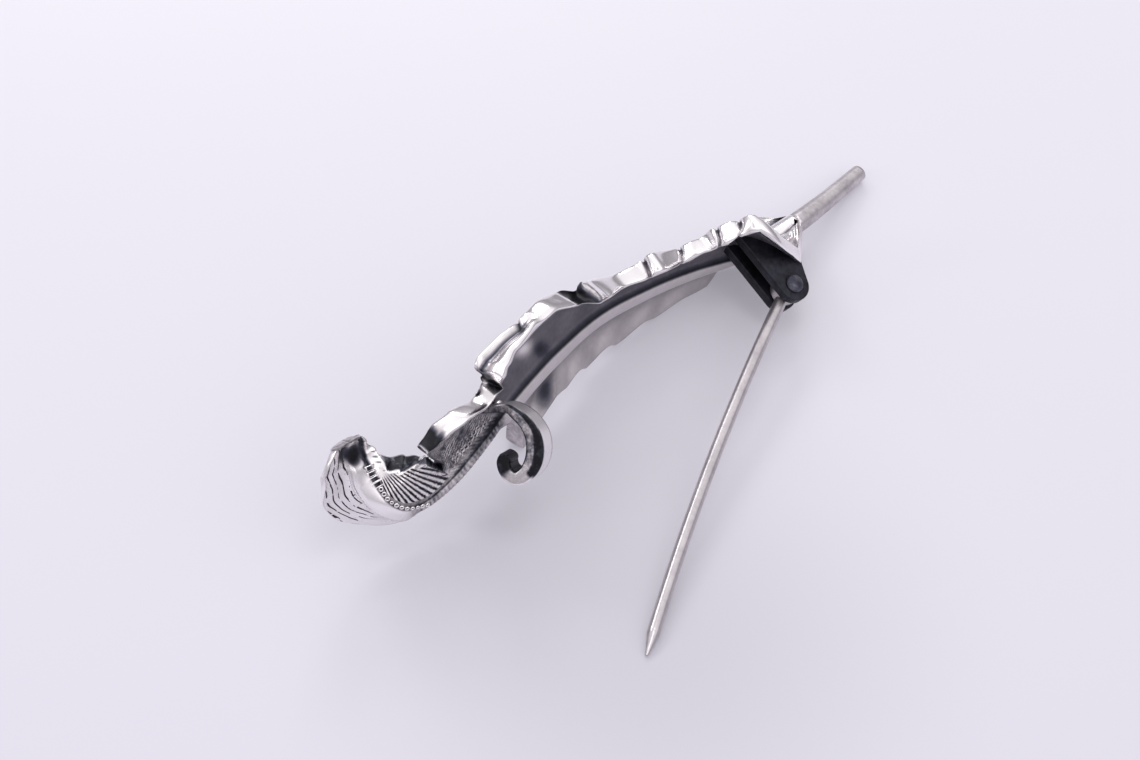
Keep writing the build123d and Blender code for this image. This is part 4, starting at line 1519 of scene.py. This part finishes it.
# %% Line of the pin stem
bow_radius = (half_stem**2 + PIN_BOW**2) / (2 * PIN_BOW)
bow_turn = np.linspace(-1, 1, 60) * math.asin(half_stem / bow_radius)
bow_x = STEM_START + half_stem + bow_radius * np.sin(bow_turn)
bow_z = PIN_BOW - bow_radius * (1 - np.cos(bow_turn))
stem_line = np.stack([bow_x, 0 * bow_x, bow_z], -1)
heading = unit(stem_line[-1] - stem_line[-2])
point_line = stem_line[-1] + heading * np.linspace(0, PIN_POINT, 10)[1:, None]
stem_line = np.concatenate([stem_line, point_line])
opening = math.radians(OPEN_ANGLE)
open_turn = np.array(
    [
        [math.cos(opening), 0.0, -math.sin(opening)],
        [0.0, 1.0, 0.0],
        [math.sin(opening), 0.0, math.cos(opening)],
    ]
)
open_stem_line = stem_line @ open_turn
print("stem runs to", open_stem_line[-1].round(2), "mm on the bench")


# %% The pin stem
def pin_wire_tree():
    """Round wire along a line, narrowed to its point over the end of the line."""
    tree, given, out = geometry_tree(
        "pin_wire",
        [
            ("Wire Radius", 0.0005),
            ("Point Radius", 0.00012),
            ("Point Length", 0.0019),
            ("Line Length", 0.034),
        ],
    )
    calc = partial(math_node, tree)
    wire_radius, point_radius = given.outputs["Wire Radius"], given.outputs["Point Radius"]
    curve = chain(tree, "GeometryNodeMeshToCurve", given.outputs["Geometry"], "Mesh", "Curve")[1]
    walked = tree.nodes.new("GeometryNodeSplineParameter").outputs["Length"]
    to_end = calc("SUBTRACT", given.outputs["Line Length"], walked)
    share = calc("DIVIDE", to_end, given.outputs["Point Length"], clamp=True)
    wider = calc("MULTIPLY", share, calc("SUBTRACT", wire_radius, point_radius))
    radius = calc("ADD", wider, point_radius)
    profile = add_node(tree, "GeometryNodeCurvePrimitiveCircle", Resolution=32, Radius=1.0)
    swept, wire = chain(tree, "GeometryNodeCurveToMesh", curve, "Curve", "Mesh")
    swept.inputs["Fill Caps"].default_value = True
    tree.links.new(profile.outputs["Curve"], swept.inputs["Profile Curve"])
    tree.links.new(radius, swept.inputs["Scale"])
    finish_tree(tree, out, wire, WIRE_SILVER)
    return tree


line_length = float(np.linalg.norm(np.diff(stem_line, axis=0), axis=1).sum())
pin_wire = grow(
    "pin_wire",
    line_mesh("pin_line", open_stem_line),
    pin_wire_tree(),
    {
        "Wire Radius": WIRE / 2 * MM,
        "Point Radius": PIN_POINT_RADIUS * MM,
        "Point Length": PIN_POINT * MM,
        "Line Length": line_length * MM,
    },
)
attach(pin_wire, "stem")
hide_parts("pin_stem")
wire_size = [round(value / MM, 2) for value in pin_wire.dimensions]
print("pin wire faces:", len(pin_wire.data.polygons), "size in mm", wire_size)

# %% The eye of the pin
eye_inner = RIVET_RADIUS + RUNNING_CLEARANCE
EYE_CORNER = 0.14
eye_section = rounded_oblong(EYE_RADIUS - eye_inner, EYE_WIDTH, EYE_CORNER)
eye_middle = (EYE_RADIUS + eye_inner) / 2
eye_mesh = bpy.data.meshes.new("pin_eye")
eye_distance = eye_middle + eye_section[:, 0]
eye_points = np.array(
    [
        np.stack([eye_distance * math.cos(angle), eye_section[:, 1], eye_distance * math.sin(angle)], -1)
        for angle in np.linspace(0, 2 * math.pi, 64, endpoint=False)
    ]
)
eye_index = np.arange(eye_points.shape[0] * eye_points.shape[1]).reshape(eye_points.shape[:2])
eye_next = np.roll(eye_index, -1, axis=0)
eye_corners = [eye_index, np.roll(eye_index, -1, axis=1), np.roll(eye_next, -1, axis=1), eye_next]
eye_quads = np.stack(eye_corners, -1).reshape(-1, 4)
eye_mesh.from_pydata(on_table(eye_points.reshape(-1, 3)).tolist(), [], eye_quads.tolist())
turn_outwards(eye_mesh)
eye_mesh.shade_smooth()
eye_mesh.materials.append(WIRE_SILVER)
pin_eye = bpy.data.objects.new("pin_eye", eye_mesh)
bpy.context.scene.collection.objects.link(pin_eye)
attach(pin_eye, "stem")
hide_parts("pin_stem")
print("pin eye faces:", len(eye_mesh.polygons))

# %% [markdown]
# The table is a pale board that shows faint reflections. It is painted a little darker towards
# the viewer as a painted falloff of light, and darker in a soft pool under the brooch as a painted
# shadow. It glows a little with its own colour, painted light that keeps it and its shadows pale
# without light that would bleach the silver. It is only a stage for the object.

# %% Table
board = bpy.data.meshes.new("board")
board.from_pydata([(-1.5, -1.5, 0), (1.5, -1.5, 0), (1.5, 1.5, 0), (-1.5, 1.5, 0)], [], [(0, 1, 2, 3)])
table_top = bpy.data.objects.new("table_top", board)
bpy.context.scene.collection.objects.link(table_top)
NEAR_EDGE, FAR_EDGE = -0.045, 0.055
# The board's colour runs from a darker near edge to a lighter far edge: a painted falloff of light.
NEAR_PAINTED_SHADE_COLOUR = (0.432, 0.419, 0.470)
FAR_PAINTED_LIGHT_COLOUR = (0.475, 0.463, 0.508)
# A soft darker pool under the brooch: a painted shadow.
PAINTED_SHADOW_PLACE = (0.003, -0.022, 0.0)
PAINTED_SHADOW_RADIUS = 0.030
PAINTED_SHADOW_FACTOR = 0.84
# The board's glow is painted light that lifts the board and its shadows.
PAINTED_GLOW = 0.42


def map_range(tree, value, source, target, smooth=False):
    """Number carried from one range to another, and held at its ends."""
    node = tree.nodes.new("ShaderNodeMapRange")
    node.interpolation_type = "SMOOTHSTEP" if smooth else "LINEAR"
    for label, number in zip(("From Min", "From Max", "To Min", "To Max"), (*source, *target)):
        node.inputs[label].default_value = number
    tree.links.new(value, node.inputs["Value"])
    return node.outputs["Result"]


def vector_measure(tree, operation, vector, fixed):
    """Number that a Vector Math node gives for a vector and a fixed place or direction."""
    node = add_node(tree, "ShaderNodeVectorMath", [("operation", operation)])
    tree.links.new(vector, node.inputs[0])
    node.inputs[1].default_value = fixed
    return node.outputs["Value"]


paper = bpy.data.materials.new("pale_board_painted_shade")
paper.use_nodes = True
paper_tree = paper.node_tree
paper_shader = paper_tree.nodes["Principled BSDF"]
paper_place = paper_tree.nodes.new("ShaderNodeTexCoord").outputs["Object"]
paper_parts = paper_tree.nodes.new("ShaderNodeSeparateXYZ")
paper_tree.links.new(paper_place, paper_parts.inputs["Vector"])
# Painted falloff of light from the near edge to the far edge.
falloff_share = map_range(paper_tree, paper_parts.outputs["Y"], (NEAR_EDGE, FAR_EDGE), (0.0, 1.0))
painted_falloff_tone = colour_ramp(paper_tree, falloff_share, [(0.0, NEAR_PAINTED_SHADE_COLOUR), (1.0, FAR_PAINTED_LIGHT_COLOUR)])
# Painted shadow in a soft pool under the brooch.
from_painted_shadow = vector_measure(paper_tree, "DISTANCE", paper_place, PAINTED_SHADOW_PLACE)
painted_shadow = map_range(paper_tree, from_painted_shadow, (0.0, PAINTED_SHADOW_RADIUS), (PAINTED_SHADOW_FACTOR, 1.0), smooth=True)
painted_shadow_tone = add_node(paper_tree, "ShaderNodeVectorMath", [("operation", "SCALE")])
paper_tree.links.new(painted_falloff_tone, painted_shadow_tone.inputs[0])
paper_tree.links.new(painted_shadow, painted_shadow_tone.inputs["Scale"])
# The same painted colour also glows: painted light.
for label in ("Base Color", "Emission Color"):
    paper_tree.links.new(painted_shadow_tone.outputs["Vector"], paper_shader.inputs[label])
paper_shader.inputs["Emission Strength"].default_value = PAINTED_GLOW
paper_shader.inputs["Roughness"].default_value = 0.24
paper_shader.inputs["Specular IOR Level"].default_value = 0.3
board.materials.append(paper)
print("table shades from y", NEAR_EDGE, "to", FAR_EDGE, "m")

# %% [markdown]
# The light is a white tent: a pale world that is brightest overhead, greyer low down and a
# little brighter in front, with a dark place where the photographer stands. Polished silver
# shows little but what stands round it, so four small bright boxes draw its crisp highlights.


# %% Light boxes
def light_box(name, direction, distance, size, brightness):
    """Rectangular light whose face has a given brightness, pointed at the brooch."""
    lamp = bpy.data.lights.new(name, "AREA")
    lamp.shape = "RECTANGLE"
    lamp.size, lamp.size_y = size
    lamp.energy = brightness * math.pi * size[0] * size[1]
    holder = bpy.data.objects.new(name, lamp)
    place = Vector(direction).normalized() * distance
    holder.location = place
    holder.rotation_euler = (-place).to_track_quat("-Z", "Y").to_euler()
    bpy.context.scene.collection.objects.link(holder)


LIGHT_BOXES = [
    # name, direction from the brooch, distance and size in metres, brightness
    ("back_box", (-0.08, 0.80, 0.56), 0.5, (0.16, 0.10), 8.0),
    ("back_left_box", (-0.55, 0.50, 0.67), 0.5, (0.15, 0.11), 6.0),
    ("overhead_box", (0.10, -0.05, 1.0), 0.6, (0.16, 0.16), 4.0),
    ("left_box", (-0.9, -0.30, 0.45), 0.5, (0.10, 0.14), 5.0),
]
for box in LIGHT_BOXES:
    light_box(*box)
print("light boxes:", len(LIGHT_BOXES))

# %% World
PHOTOGRAPHER_DIRECTION = (-0.04, -0.615, 0.788)
FRONT_DIRECTION = (0.45, -0.85, 0.25)
SKY_TONES = [
    # height of the direction and the colour of the tent there
    (0.00, (0.27, 0.255, 0.28)),
    (0.28, (0.46, 0.44, 0.47)),
    (0.58, (0.98, 0.96, 0.98)),
    (1.00, (1.22, 1.20, 1.22)),
]
world = bpy.data.worlds.new("pale_tent")
world.use_nodes = True
sky = world.node_tree
sky_direction = sky.nodes.new("ShaderNodeTexCoord").outputs["Generated"]
sky_parts = sky.nodes.new("ShaderNodeSeparateXYZ")
sky.links.new(sky_direction, sky_parts.inputs["Vector"])
sky_tone = colour_ramp(sky, sky_parts.outputs["Z"], SKY_TONES)
towards_photographer = vector_measure(sky, "DOT_PRODUCT", sky_direction, PHOTOGRAPHER_DIRECTION)
shade = map_range(sky, towards_photographer, (0.925, 0.985), (1.0, 0.25), smooth=True)
towards_front = vector_measure(sky, "DOT_PRODUCT", sky_direction, FRONT_DIRECTION)
fill = map_range(sky, towards_front, (0.2, 1.0), (0.0, 0.75))
background = sky.nodes["Background"]
sky.links.new(sky_tone, background.inputs["Color"])
sky.links.new(math_node(sky, "ADD", shade, fill), background.inputs["Strength"])
bpy.context.scene.world = world
bpy.context.scene.view_settings.view_transform = "Standard"
print("world:", world.name)

# %% [markdown]
# The camera looks down at about fifty degrees through a long lens, as the photograph was
# taken. Its place and turn are those that lay the modelled feather over the photographed one.

# %% Camera
CAMERA_AIM = Vector((-2.3, 1.96, 0.0)) * MM
CAMERA_DISTANCE = 359.03 * MM
CAMERA_AZIMUTH = 3.694
CAMERA_ELEVATION = 51.974
CAMERA_ROLL = -4.721
azimuth, elevation = math.radians(CAMERA_AZIMUTH), math.radians(CAMERA_ELEVATION)
forward = Vector(
    (math.sin(azimuth) * math.cos(elevation), math.cos(azimuth) * math.cos(elevation), -math.sin(elevation))
)
lens = bpy.data.cameras.new("photo_camera")
lens.lens = 146.84
lens.sensor_width = 36.0
lens.clip_start = 0.01
lens.clip_end = 10.0
camera = bpy.data.objects.new("photo_camera", lens)
camera.location = CAMERA_AIM - forward * CAMERA_DISTANCE
level_turn = forward.to_track_quat("-Z", "Y")
roll_turn = Matrix.Rotation(math.radians(CAMERA_ROLL), 4, forward)
camera.rotation_euler = (roll_turn @ level_turn.to_matrix().to_4x4()).to_euler()
bpy.context.scene.collection.objects.link(camera)
bpy.context.scene.camera = camera
print("camera at mm", [round(value / MM, 1) for value in camera.location])
